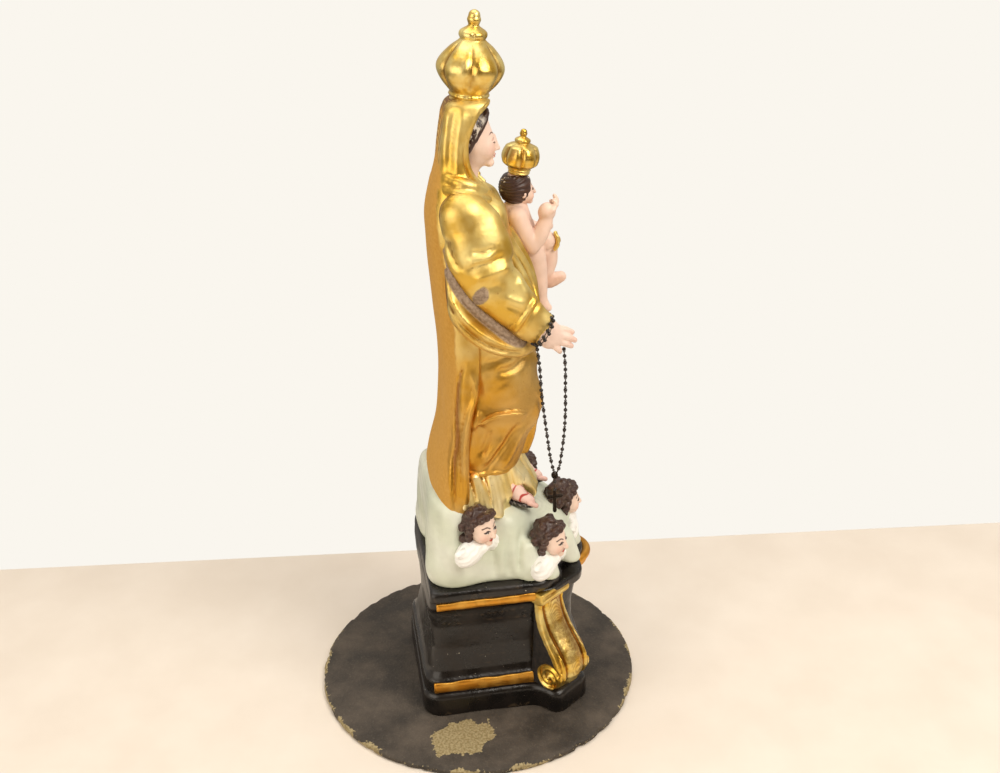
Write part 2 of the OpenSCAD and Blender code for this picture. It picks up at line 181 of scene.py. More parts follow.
@dataclass(frozen=True)
class Bone:
    """A round limb or roll that follows a smooth path, with a radius at each point."""

    points: tuple[Vec, ...]
    radii: tuple[float, ...]
    steps: int = 4
    thin: Vec = (1, 1, 1)

    def rows(self) -> np.ndarray:
        """The points of the smooth path, each with its radius."""
        return curve_through([(*p, r) for p, r in zip(self.points, self.radii)], self.steps)

    def box(self) -> tuple[np.ndarray, np.ndarray]:
        """Its lowest and highest corners."""
        rows = self.rows()
        reach = rows[:, 3:] * np.array(self.thin)
        return (rows[:, :3] - reach).min(0), (rows[:, :3] + reach).max(0)

    def distance(self, x: np.ndarray, y: np.ndarray, z: np.ndarray) -> np.ndarray:
        """The distance of each point from the surface, negative inside."""
        rows = self.rows()
        rows[:, :3] /= np.array(self.thin)
        x, y, z = x / self.thin[0], y / self.thin[1], z / self.thin[2]
        best = None
        for a, b in zip(rows[:-1], rows[1:]):
            way = b[:3] - a[:3]
            px, py, pz = x - a[0], y - a[1], z - a[2]
            h = np.clip((px * way[0] + py * way[1] + pz * way[2]) / (way @ way), 0, 1)
            d = (
                np.sqrt((px - h * way[0]) ** 2 + (py - h * way[1]) ** 2 + (pz - h * way[2]) ** 2)
                - a[3]
                - (b[3] - a[3]) * h
            )
            best = d if best is None else np.minimum(best, d)
        return best * min(self.thin)


@dataclass(frozen=True)
class Loft:
    """A body of oval sections, each (height, centre x, centre y, half width, half depth)."""

    rows: tuple[tuple[float, float, float, float, float], ...]
    power: float = 2.0

    def box(self) -> tuple[np.ndarray, np.ndarray]:
        """Its lowest and highest corners."""
        r = np.array(self.rows)
        low = [(r[:, 1] - r[:, 3]).min(), (r[:, 2] - r[:, 4]).min(), r[0, 0]]
        high = [(r[:, 1] + r[:, 3]).max(), (r[:, 2] + r[:, 4]).max(), r[-1, 0]]
        return np.array(low), np.array(high)

    def section(self, z: np.ndarray) -> list[np.ndarray]:
        """The centre and half sizes of the section at each height."""
        r = np.array(self.rows)
        return [eased(z, r[:, 0], r[:, i]) for i in range(1, 5)]

    def distance(self, x: np.ndarray, y: np.ndarray, z: np.ndarray) -> np.ndarray:
        """The distance of each point from the surface, negative inside."""
        cx, cy, rx, ry = self.section(z)
        u, v = np.abs(x - cx) / rx, np.abs(y - cy) / ry
        k0 = (u**self.power + v**self.power) ** (1 / self.power)
        k1 = np.sqrt((u / rx) ** 2 + (v / ry) ** 2)
        d = k0 * (k0 - 1) / np.maximum(k1, 1e-4)
        return np.maximum(d, np.maximum(self.rows[0][0] - z, z - self.rows[-1][0]))


@dataclass(frozen=True)
class Wall:
    """Everything behind a plane through the place c whose normal is n."""

    c: Vec
    n: Vec

    def box(self) -> tuple[np.ndarray, np.ndarray]:
        """It has no end."""
        return np.full(3, -1e6), np.full(3, 1e6)

    def distance(self, x: np.ndarray, y: np.ndarray, z: np.ndarray) -> np.ndarray:
        """The distance of each point in front of the plane."""
        n = np.array(self.n) / np.linalg.norm(self.n)
        return (x - self.c[0]) * n[0] + (y - self.c[1]) * n[1] + (z - self.c[2]) * n[2]


@dataclass(frozen=True)
class Curtain:
    """Everything behind a wavy curtain, whose y at each height is given."""

    heights: tuple[float, ...]
    ys: tuple[float, ...]
    side: int = 1

    def box(self) -> tuple[np.ndarray, np.ndarray]:
        """It has no end."""
        return np.full(3, -1e6), np.full(3, 1e6)

    def distance(self, x: np.ndarray, y: np.ndarray, z: np.ndarray) -> np.ndarray:
        """The distance of each point in front of the curtain."""
        at = np.clip(z, self.heights[0], self.heights[-1])
        return self.side * (eased(at, self.heights, self.ys) - y) + 0 * x


Shape = Egg | Bone | Loft | Wall | Curtain


def from_path(a: np.ndarray, b: np.ndarray, path: Sequence[Flat]) -> list[np.ndarray]:
    """How far points of a flat picture are from a smooth path.

    Args:
        a: The first coordinate of each point.
        b: The second coordinate of each point.
        path: The points that the path passes through.

    Returns:
        The distance, the distance with a sign that is positive on the left, and the place
        along the path, from 0 to 1.
    """
    rows = curve_through(path, 5)
    seg = np.linalg.norm(np.diff(rows, axis=0), axis=1)
    along = np.concatenate([[0], np.cumsum(seg)]) / seg.sum()
    best = np.full(np.broadcast(a, b).shape, 1e6)
    signed = np.zeros_like(best)
    place = np.zeros_like(best)
    for i in range(len(rows) - 1):
        p, q = rows[i], rows[i + 1]
        way = q - p
        h = np.clip(((a - p[0]) * way[0] + (b - p[1]) * way[1]) / (way @ way), 0, 1)
        da, db = a - p[0] - h * way[0], b - p[1] - h * way[1]
        d = np.hypot(da, db)
        near = d < best
        best = np.where(near, d, best)
        signed = np.where(near, np.sign(way[0] * db - way[1] * da) * d, signed)
        place = np.where(near, along[i] + h * (along[i + 1] - along[i]), place)
    return [best, signed, place]


class Cut(Enum):
    """How a stroke marks the surface: a round roll or groove, or the lapped edge of a fold."""

    ROUND = 0
    LAP = 1


@dataclass(frozen=True)
class Stroke:
    """One stroke of the modelling tool, seen square on to the surface.

    A positive height raises the clay and a negative one hollows it. A lap rises on the left
    of its path and falls away over its width.
    """

    path: tuple[Flat, ...]
    width: float
    height: float
    cut: Cut = Cut.ROUND
    taper: float = 0.25

    def relief(self, a: np.ndarray, b: np.ndarray) -> np.ndarray:
        """How high this stroke raises each point of a flat grid."""
        best, signed, place = from_path(a, b, self.path)
        ends = smooth(0, self.taper, place) * smooth(0, self.taper, 1 - place)
        if self.cut is Cut.LAP:
            fall = np.exp(-np.maximum(signed, 0) / self.width)
            reach = smooth(2.2 * self.width, self.width, best)
            return self.height * smooth(-0.7, 0.7, signed) * fall * ends * reach
        return self.height * np.exp(-((best / self.width) ** 2)) * ends


class Clay:
    """A block of modelling clay: the distance to the surface on a regular grid."""

    def __init__(self, low: Vec, high: Vec, cell: float) -> None:
        """Starts an empty block.

        Args:
            low: The lowest corner.
            high: The highest corner.
            cell: The grid's spacing.
        """
        self.cell = cell * 1.0
        counts = np.ceil((np.array(high) - np.array(low)) / self.cell).astype(int) + 1
        self.low = np.array(low, float)
        self.axes = [(low[i] + self.cell * np.arange(counts[i])).astype(np.float32) for i in range(3)]
        self.field = np.full(counts, FAR, np.float32)

    def block(self, low: np.ndarray, high: np.ndarray, margin: float) -> tuple[tuple[slice, ...], Grid]:
        """The part of the grid that a box touches, and its coordinates."""
        spans = []
        for i in range(3):
            a = int(np.searchsorted(self.axes[i], low[i] - margin))
            b = int(np.searchsorted(self.axes[i], high[i] + margin))
            spans.append(slice(max(a - 1, 0), max(b + 1, 1)))
        x, y, z = (self.axes[i][spans[i]] for i in range(3))
        return tuple(spans), (x[:, None, None], y[None, :, None], z[None, None, :])

    def add(self, shape: Shape, soft: float = 0.0) -> "Clay":
        """Presses a shape on, with a rounded joint as wide as soft."""
        spans, grid = self.block(*shape.box(), soft + 5)
        self.field[spans] = blend_min(self.field[spans], shape.distance(*grid), soft)
        return self

    def cut(self, shape: Shape, soft: float = 0.0) -> "Clay":
        """Cuts a shape away, with rounded edges."""
        spans, grid = self.block(*shape.box(), soft + 5)
        self.field[spans] = -blend_min(-self.field[spans], shape.distance(*grid), soft)
        return self

    def keep(self, shape: Shape, soft: float = 0.0) -> "Clay":
        """Keeps only what lies inside a shape."""
        _, grid = self.block(np.full(3, -1e6), np.full(3, 1e6), 0)
        self.field = -blend_min(-self.field, -shape.distance(*grid), soft)
        return self

    def emboss(self, axis: int, side: int, strokes: Sequence[Stroke], edge: float = 0.0) -> "Clay":
        """Works strokes into the face that looks along an axis.

        Args:
            axis: 0 for the flanks and 1 for the front and back.
            side: -1 or 1, the end of the axis that the face looks at.
            strokes: The strokes, in the two other coordinates.
            edge: Where on the axis the strokes begin to take.

        Returns:
            The same clay.
        """
        others = [i for i in range(3) if i != axis]
        a, b = self.axes[others[0]][:, None], self.axes[others[1]][None, :]
        relief = np.zeros((len(self.axes[others[0]]), len(self.axes[others[1]])))
        for stroke in strokes:
            relief += stroke.relief(a, b)
        mask = smooth(-3, 6, side * self.axes[axis] - edge)
        shape = [1, 1, 1]
        shape[axis] = len(mask)
        self.field -= (mask.reshape(shape) * np.expand_dims(relief, axis)).astype(np.float32)
        return self

    def ripple(self, way: Callable[..., np.ndarray]) -> "Clay":
        """Raises the surface by a function of the coordinates."""
        _, grid = self.block(np.full(3, -1e6), np.full(3, 1e6), 0)
        self.field -= way(*grid).astype(np.float32)
        return self

    def surface(self) -> tuple[np.ndarray, np.ndarray, np.ndarray]:
        """The surface as a closed net of four-sided faces.

        Returns:
            The points, the faces, and how far each point stands proud of its surroundings.
        """
        f = np.pad(self.field, 1, constant_values=FAR)
        inside = f < 0
        corners = [(i, j, k) for i in (0, 1) for j in (0, 1) for k in (0, 1)]
        n = np.array(f.shape) - 1

        def corner(grid: np.ndarray, c: tuple[int, int, int]) -> np.ndarray:
            return grid[c[0] : c[0] + n[0], c[1] : c[1] + n[1], c[2] : c[2] + n[2]]

        count = sum(corner(inside, c).astype(np.int8) for c in corners)
        cells = np.argwhere((count > 0) & (count < 8))
        index = np.full(n, -1, np.int64)
        index[tuple(cells.T)] = np.arange(len(cells))
        values = [f[tuple((cells + c).T)] for c in corners]
        total = np.zeros((len(cells), 3))
        hits = np.zeros(len(cells))
        for i, p in enumerate(corners):
            for j in range(i + 1, 8):
                q = corners[j]
                if sum(abs(p[k] - q[k]) for k in range(3)) != 1:
                    continue
                a, b = values[i], values[j]
                crossed = (a < 0) != (b < 0)
                t = np.where(crossed, a / np.where(crossed, a - b, 1), 0)
                step = np.array(p) + t[:, None] * (np.array(q) - np.array(p))
                total += np.where(crossed[:, None], step, 0)
                hits += crossed
        points = self.low + (cells - 1 + total / hits[:, None]) * self.cell
        faces = []
        for axis in range(3):
            u, v = (axis + 1) % 3, (axis + 2) % 3
            lower = [slice(1, -1)] * 3
            upper = [slice(1, -1)] * 3
            lower[axis], upper[axis] = slice(0, -1), slice(1, None)
            a, b = inside[tuple(lower)], inside[tuple(upper)]
            at = np.argwhere(a != b) + np.array([0 if k == axis else 1 for k in range(3)])
            flip = ~inside[tuple(at.T)]
            ring = []
            for du, dv in ((-1, -1), (0, -1), (0, 0), (-1, 0)):
                step = np.zeros(3, int)
                step[u], step[v] = du, dv
                ring.append(index[tuple((at + step).T)])
            quad = np.stack(ring, 1)
            quad[flip] = quad[flip][:, ::-1]
            faces.append(quad)
        proud = blurred(f, max(2, round(1.8 / self.cell)), 8)[tuple(cells.T)]
        return points, np.concatenate(faces), proud


def blurred(f: np.ndarray, reach: int, limit: float) -> np.ndarray:
    """The mean of a field, clipped to a limit, over a box of cells round each one."""
    out = np.clip(f, -limit, limit)
    for axis in range(f.ndim):
        pad = [(0, 0)] * f.ndim
        pad[axis] = (reach + 1, reach)
        total = np.cumsum(np.pad(out, pad, mode="edge"), axis=axis, dtype=np.float64)
        size = f.shape[axis]
        span = 2 * reach + 1
        out = (np.take(total, np.arange(size) + span, axis=axis) - np.take(total, np.arange(size), axis=axis)) / span
    return out


def blend_min(a: np.ndarray, b: np.ndarray, soft: float) -> np.ndarray:
    """The nearer of two distances, rounded where they meet."""
    if soft <= 0:
        return np.minimum(a, b).astype(np.float32)
    h = np.clip(0.5 + 0.5 * (b - a) / soft, 0, 1)
    return (b * (1 - h) + a * h - soft * h * (1 - h)).astype(np.float32)


# ---------------------------------------------------------------- meshes


@dataclass
class Skin:
    """The points and faces of one piece, in millimetres, with values at each point."""

    points: np.ndarray
    faces: np.ndarray
    values: dict[str, np.ndarray] = field(default_factory=dict)

    @classmethod
    def of(cls, clay: Clay) -> "Skin":
        """The surface of a block of clay, with its ridges and hollows marked."""
        points, faces, proud = clay.surface()
        rows = np.column_stack([points, np.clip(0.5 + 0.5 * proud / 0.9, 0, 1)])
        edges = np.concatenate([faces[:, [i, (i + 1) % 4]] for i in range(4)])
        count = np.bincount(edges.ravel(), minlength=len(rows))
        # Each pair of passes smooths the grid's steps away and then undoes the shrinking.
        for share in (0.5, -0.52) * 3:
            for k in range(4):
                near = np.bincount(edges[:, 0], rows[edges[:, 1], k], len(rows))
                near += np.bincount(edges[:, 1], rows[edges[:, 0], k], len(rows))
                rows[:, k] += share * (near / count - rows[:, k]) if k < 3 or share > 0 else 0
        return cls(rows[:, :3], faces, {"proud": rows[:, 3]})

    def moved(self, m: np.ndarray, at: Vec) -> "Skin":
        """A copy turned by a matrix and moved, with its faces kept outward."""
        faces = self.faces[:, ::-1] if np.linalg.det(m) < 0 else self.faces
        return Skin(self.points @ m.T + np.array(at), faces.copy(), dict(self.values))

    def make(self, name: str, finish: bpy.types.Material, body: str = "statue") -> bpy.types.Object:
        """Makes the Blender piece, which rides on a body.

        Args:
            name: The piece's name.
            finish: Its material.
            body: The body it moves with.

        Returns:
            The piece.
        """
        mesh = bpy.data.meshes.new(name)
        mesh.vertices.add(len(self.points))
        mesh.vertices.foreach_set("co", (self.points * MM).astype(np.float32).ravel())
        mesh.loops.add(self.faces.size)
        mesh.loops.foreach_set("vertex_index", self.faces.astype(np.int32).ravel())
        mesh.polygons.add(len(self.faces))
        sides = self.faces.shape[1]
        mesh.polygons.foreach_set("loop_start", np.arange(len(self.faces), dtype=np.int32) * sides)
        mesh.update(calc_edges=True)
        mesh.validate()
        mesh.polygons.foreach_set("use_smooth", np.ones(len(mesh.polygons), bool))
        for key, value in self.values.items():
            flat = value.ndim == 1
            attribute = mesh.attributes.new(key, "FLOAT" if flat else "FLOAT_COLOR", "POINT")
            if flat:
                attribute.data.foreach_set("value", value.astype(np.float32))
            else:
                rgba = np.concatenate([value, np.ones((len(value), 1))], 1)
                attribute.data.foreach_set("color", rgba.astype(np.float32).ravel())
        mesh.materials.append(finish)
        piece = bpy.data.objects.new(name, mesh)
        bpy.context.scene.collection.objects.link(piece)
        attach(piece, body)
        log.info("%s: %d faces", name, len(mesh.polygons))
        return piece


def sheet_skin(rows: np.ndarray, closed: bool = True) -> Skin:
    """A skin over a grid of points: rows run one way, and each row closes on itself.

    Args:
        rows: An array of rows of points.
        closed: Whether flat ends are put on the first and last rows.

    Returns:
        The skin, with its faces outward when the rows turn anticlockwise and rise.
    """
    n, m, _ = rows.shape
    points = rows.reshape(-1, 3)
    i, j = np.meshgrid(np.arange(n - 1), np.arange(m), indexing="ij")
    a, b = i * m + j, i * m + (j + 1) % m
    faces = np.stack([a, b, b + m, a + m], -1).reshape(-1, 4)
    if closed:
        ends = np.stack([rows[0].mean(0), rows[-1].mean(0)])
        points = np.concatenate([points, ends])
        k = np.arange(0, m, 2)
        mid, top = n * m, n * m + 1
        base = (n - 1) * m
        start = np.stack([(k + 2) % m, (k + 1) % m, k, np.full_like(k, mid)], 1)
        finish = np.stack([base + k, base + (k + 1) % m, base + (k + 2) % m, np.full_like(k, top)], 1)
        faces = np.concatenate([faces, start, finish])
    return Skin(points, faces)


# ---------------------------------------------------------------- paint


class Brush:
    """Colours laid over one another at the points of a skin."""

    def __init__(self, skin: Skin, base: str) -> None:
        """Starts with one colour all over.

        Args:
            skin: The skin to paint.
            base: The first colour, as a hex code.
        """
        self.skin = skin
        self.p = skin.points
        self.colour = np.tile(rgb(base), (len(self.p), 1))

    def lay(self, code: str, mask: np.ndarray) -> "Brush":
        """Lays a colour where the mask is 1."""
        self.colour += (rgb(code) - self.colour) * mask[:, None]
        return self

    def spot(self, c: Vec, r: Vec, soft: float = 0.3) -> np.ndarray:
        """A mask that is 1 inside an oval."""
        d = np.sqrt((((self.p - np.array(c)) / np.array(r)) ** 2).sum(1))
        return 1 - smooth(1 - soft, 1 + soft, d)

    def line(self, axes: tuple[int, int], path: Sequence[Flat], width: float) -> np.ndarray:
        """A mask that is 1 along a path drawn square on to two axes."""
        d = from_path(self.p[:, axes[0]], self.p[:, axes[1]], path)[0]
        return 1 - smooth(0.6 * width, 1.2 * width, d)

    def done(self, **masks: np.ndarray) -> Skin:
        """Puts the colours and any masks on the skin."""
        self.skin.values["paint"] = self.colour
        self.skin.values.update(masks)
        return self.skin


# ---------------------------------------------------------------- finishes


def node(
    tree: bpy.types.NodeTree,
    kind: str,
    inputs: dict[str | int, object] | None = None,
    stops: Sequence[tuple[float, str]] = (),
    **settings: object,
) -> bpy.types.Node:
    """Adds a node with its settings and links.

    Args:
        tree: The tree that it goes in.
        kind: The node's type.
        inputs: What goes in at each socket: a value, a socket or a node.
        stops: The places and hex colours of a colour ramp.
        settings: The node's own settings.

    Returns:
        The node.
    """
    made = tree.nodes.new(kind)
    for key, value in settings.items():
        setattr(made, key, value)
    for i, (place, code) in enumerate(stops):
        ramp = made.color_ramp.elements
        stop = ramp[i] if i < 2 else ramp.new(place)
        stop.position, stop.color = place, linear(code)
    for key, value in (inputs or {}).items():
        if isinstance(value, bpy.types.Node):
            tree.links.new(value.outputs[0], made.inputs[key])
        elif isinstance(value, bpy.types.NodeSocket):
            tree.links.new(value, made.inputs[key])
        else:
            made.inputs[key].default_value = value
    return made


def per(size: float) -> float:
    """The scale at which a pattern repeats over about this many millimetres."""
    return 1000.0 / size


def blank(name: str) -> tuple[bpy.types.Material, bpy.types.NodeTree, bpy.types.Node, bpy.types.NodeSocket]:
    """A new material with its tree, its shader and the piece's own coordinates."""
    material = bpy.data.materials.new(name)
    material.use_nodes = True
    tree = material.node_tree
    shader = tree.nodes["Principled BSDF"]
    return material, tree, shader, node(tree, "ShaderNodeTexCoord").outputs["Object"]


def mixed(
    tree: bpy.types.NodeTree, amount: object, low: object, high: object
) -> bpy.types.NodeSocket:
    """Mixes two colours by an amount from 0 to 1."""
    made = node(tree, "ShaderNodeMix", {0: amount, 6: low, 7: high}, data_type="RGBA")
    return made.outputs[2]


def spread(tree: bpy.types.NodeTree, value: object, span: Flat, to: Flat) -> bpy.types.NodeSocket:
    """Stretches a value from one span to another and clamps it."""
    keys = {"Value": value, 1: span[0], 2: span[1], 3: to[0], 4: to[1]}
    return node(tree, "ShaderNodeMapRange", keys).outputs[0]


@dataclass(frozen=True)
class GoldLeaf:
    """Gold leaf over red bole, burnished by hand: bright and warm, with painted shade browning its hollows."""

    name: str = "burnished_gold_leaf"
    leaf: str = "DEB54E"
    pale: str = "F0DB90"
    # the brown of the painted shade in the hollows
    hollow: str = "8A5416"
    rub: str = "B67A34"
    rough: Flat = (0.37, 0.53)
    lap: float = 26.0
    wave: float = 9.0
    # Matt colours that the second mask lays: painted shade in slits and grooves, worn gesso on the sleeve, black paint
    # on the console's flanks.
    lining: tuple[str, str] = ("8A745F", "A8927C")
    # the deeper orange laid low on the figure as painted shade, and how much of it
    deep: str = "C4872C"
    deepen: float = 0.0

    def material(self) -> bpy.types.Material:
        """Builds the finish, with matt ochre where the mask says so."""
        material, tree, shader, at = blank(self.name)
        broad = node(tree, "ShaderNodeTexNoise", {"Vector": at, "Scale": per(self.lap), "Detail": 3.0})
        fine = node(tree, "ShaderNodeTexNoise", {"Vector": at, "Scale": per(2.2), "Detail": 5.0})
        proud = node(tree, "ShaderNodeAttribute", attribute_name="proud").outputs["Fac"]
        ochre = node(tree, "ShaderNodeAttribute", attribute_name="ochre").outputs["Fac"]
        lining = node(tree, "ShaderNodeAttribute", attribute_name="lining").outputs["Fac"]
        colour = mixed(tree, spread(tree, broad, (0.4, 0.62), (0, 1)), linear(self.leaf), linear(self.pale))
        # Painted shade: the gold turns brown where the surface lies low among its surroundings.
        colour = mixed(tree, spread(tree, proud, (0.44, 0.16), (0, 0.95)), colour, linear(self.hollow))
        # Painted shade low on the figure: from 0.34 m down to 0.26 m the gold deepens towards the deep orange.
        height = node(tree, "ShaderNodeSeparateXYZ", {0: at}).outputs[2]
        colour = mixed(tree, spread(tree, height, (0.34, 0.26), (0, self.deepen)), colour, linear(self.deep))
        worn = spread(tree, fine, (0.66, 0.78), (0, 0.5))
        colour = mixed(tree, worn, colour, linear(self.rub))
        matt = mixed(
            tree, spread(tree, fine, (0.35, 0.7), (0, 1)), linear("C4913A"), linear("CD9C46")
        )
        colour = mixed(tree, ochre, colour, matt)
        # Matt brown where the mask says: painted shade in slits and grooves, and worn gesso showing.
        brown = mixed(tree, spread(tree, fine, (0.4, 0.6), (0, 1)), linear(self.lining[0]), linear(self.lining[1]))
        colour = mixed(tree, lining, colour, brown)
        dull = node(tree, "ShaderNodeMath", {0: ochre, 1: lining}, operation="MAXIMUM")
        metal = spread(tree, dull, (0, 1), (1, 0))
        gloss = spread(tree, broad, (0.35, 0.65), self.rough)
        gloss = node(tree, "ShaderNodeMath", {0: gloss, 1: spread(tree, dull, (0, 1), (0, 0.42))})
        wave = node(tree, "ShaderNodeTexNoise", {"Vector": at, "Scale": per(self.wave), "Detail": 2.0})
        soft = node(tree, "ShaderNodeBump", {"Height": wave, "Distance": 0.0008, "Strength": 0.5})
        crisp = node(
            tree, "ShaderNodeBump", {"Height": fine, "Distance": 0.00016, "Strength": 0.4, "Normal": soft}
        )
        for key, value in (("Base Color", colour), ("Metallic", metal), ("Roughness", gloss.outputs[0])):
            tree.links.new(value, shader.inputs[key])
        tree.links.new(crisp.outputs[0], shader.inputs["Normal"])
        return material


@dataclass(frozen=True)
class OilPaint:
    """Oil paint brushed on gesso: a low sheen, brush marks, and white where it has chipped."""

    name: str
    rough: Flat = (0.42, 0.58)
    brush: float = 3.5
    relief: float = 0.12
    chips: float = 0.0
    # the colour that hollows turn to: dirt on flesh and hair, painted shade on the cloud
    grime_and_shade: str = "6E5A44"
    grime_and_shade_share: float = 0.35
    fleck: str = "EFE9DA"

    def material(self) -> bpy.types.Material:
        """Builds the finish over the colours painted on the piece."""
        material, tree, shader, at = blank(self.name)
        paint = node(tree, "ShaderNodeAttribute", attribute_name="paint").outputs["Color"]
        chip = node(tree, "ShaderNodeAttribute", attribute_name="chip").outputs["Fac"]
        proud = node(tree, "ShaderNodeAttribute", attribute_name="proud").outputs["Fac"]
        marks = node(tree, "ShaderNodeTexNoise", {"Vector": at, "Scale": per(self.brush), "Detail": 5.0})
        broad = node(tree, "ShaderNodeTexNoise", {"Vector": at, "Scale": per(14), "Detail": 3.0})
        speck = node(tree, "ShaderNodeTexNoise", {"Vector": at, "Scale": per(1.6), "Detail": 3.0})
        shade = node(
            tree,
            "ShaderNodeHueSaturation",
            {"Color": paint, "Value": spread(tree, broad, (0.3, 0.7), (0.93, 1.05))},
        )
        # Hollows turn toward this colour: dirt on the flesh and hair, painted shade on the cloud and the wings.
        colour = mixed(tree, spread(tree, proud, (0.42, 0.1), (0, self.grime_and_shade_share)), shade, linear(self.grime_and_shade))
        lifted = spread(tree, speck, (0.56, 0.6), (0, 1))
        chipped = node(tree, "ShaderNodeMath", {0: lifted, 1: chip}, operation="MULTIPLY")
        sparse = spread(tree, speck, (0.74, 0.76), (0, self.chips))
        bare = node(tree, "ShaderNodeMath", {0: chipped, 1: sparse}, operation="MAXIMUM")
        colour = mixed(tree, bare, colour, linear(self.fleck))
        height = node(tree, "ShaderNodeMath", {0: marks, 1: bare}, operation="SUBTRACT")
        bump = node(
            tree, "ShaderNodeBump", {"Height": height, "Distance": self.relief * MM, "Strength": 0.8}
        )
        tree.links.new(colour, shader.inputs["Base Color"])
        tree.links.new(spread(tree, marks, (0.35, 0.65), self.rough), shader.inputs["Roughness"])
        tree.links.new(bump.outputs[0], shader.inputs["Normal"])
        return material


@dataclass(frozen=True)
class BlackPaint:
    """Black oil paint on gesso: soft sheen, brown at the rubbed edges, flecked with white."""

    name: str = "black_paint_on_gesso"
    black: str = "0D0B0A"
    brown: str = "1F1915"
    edge: str = "5E4E3A"

    def material(self) -> bpy.types.Material:
        """Builds the finish."""
        material, tree, shader, at = blank(self.name)
        broad = node(tree, "ShaderNodeTexNoise", {"Vector": at, "Scale": per(18), "Detail": 6.0})
        marks = node(tree, "ShaderNodeTexNoise", {"Vector": at, "Scale": per(3), "Detail": 5.0})
        speck = node(tree, "ShaderNodeTexNoise", {"Vector": at, "Scale": per(2.6), "Detail": 3.0})
        proud = node(tree, "ShaderNodeAttribute", attribute_name="proud").outputs["Fac"]
        colour = mixed(
            tree, spread(tree, broad, (0.35, 0.7), (0, 1)), linear(self.black), linear(self.brown)
        )
        rubbed = node(
            tree,
            "ShaderNodeMath",
            {0: spread(tree, proud, (0.88, 1.0), (0, 0.4)), 1: spread(tree, marks, (0.45, 0.6), (0, 1))},
            operation="MULTIPLY",
        )
        colour = mixed(tree, rubbed, colour, linear(self.edge))
        colour = mixed(tree, spread(tree, speck, (0.745, 0.76), (0, 0.85)), colour, linear("D8CFBC"))
        bump = node(tree, "ShaderNodeBump", {"Height": marks, "Distance": 0.00035, "Strength": 0.7})
        tree.links.new(colour, shader.inputs["Base Color"])
        tree.links.new(spread(tree, broad, (0.3, 0.7), (0.2, 0.4)), shader.inputs["Roughness"])
        tree.links.new(bump.outputs[0], shader.inputs["Normal"])
        return material


@dataclass(frozen=True)
class WornBoard:
    """Old painted board: dull grey-brown, scuffed, with its pale core at the edge."""

    name: str = "worn_painted_board"
    dark: str = "332D26"
    grey: str = "5A5147"
    bare: str = "A79872"

    def material(self) -> bpy.types.Material:
        """Builds the finish, with bare board where the mask says so."""
        material, tree, shader, at = blank(self.name)
        cloud = node(
            tree, "ShaderNodeTexNoise", {"Vector": at, "Scale": per(32), "Detail": 7.0, "Roughness": 0.62}
        )
        grit = node(tree, "ShaderNodeTexNoise", {"Vector": at, "Scale": per(1.8), "Detail": 6.0})
        bare = node(tree, "ShaderNodeAttribute", attribute_name="bare").outputs["Fac"]
        colour = mixed(tree, spread(tree, cloud, (0.4, 0.68), (0, 1)), linear(self.dark), linear(self.grey))
        colour = mixed(tree, spread(tree, grit, (0.55, 0.8), (0, 0.3)), colour, linear("756B5D"))
        pale = mixed(tree, spread(tree, grit, (0.4, 0.62), (0, 1)), linear("86764F"), linear(self.bare))
        ragged = node(tree, "ShaderNodeMath", {0: bare, 1: spread(tree, grit, (0.3, 0.7), (-0.35, 0.35))})
        colour = mixed(tree, spread(tree, ragged, (0.42, 0.55), (0, 1)), colour, pale)
        bump = node(tree, "ShaderNodeBump", {"Height": grit, "Distance": 0.0006, "Strength": 0.8})
        tree.links.new(colour, shader.inputs["Base Color"])
        tree.links.new(spread(tree, cloud, (0.3, 0.7), (0.62, 0.88)), shader.inputs["Roughness"])
        tree.links.new(bump.outputs[0], shader.inputs["Normal"])
        return material


@dataclass(frozen=True)
class Plain:
    """A finish of one colour with a fine grain: polished beads, tarnished wire, bare wood."""

    name: str
    code: str
    other: str
    rough: float
    metal: float = 0.0
    grain: float = 1.0
    relief: float = 0.04

    def material(self) -> bpy.types.Material:
        """Builds the finish."""
        material, tree, shader, at = blank(self.name)
        grain_at = node(tree, "ShaderNodeTexNoise", {"Vector": at, "Scale": per(self.grain), "Detail": 4.0})
        colour = mixed(
            tree, spread(tree, grain_at, (0.35, 0.65), (0, 1)), linear(self.code), linear(self.other)
        )
        bump = node(
            tree, "ShaderNodeBump", {"Height": grain_at, "Distance": self.relief * MM, "Strength": 0.6}
        )
        shader.inputs["Metallic"].default_value = self.metal
        tree.links.new(colour, shader.inputs["Base Color"])
        low, high = self.rough * 0.8, self.rough * 1.2
        tree.links.new(spread(tree, grain_at, (0.3, 0.7), (low, high)), shader.inputs["Roughness"])
        tree.links.new(bump.outputs[0], shader.inputs["Normal"])
        return material


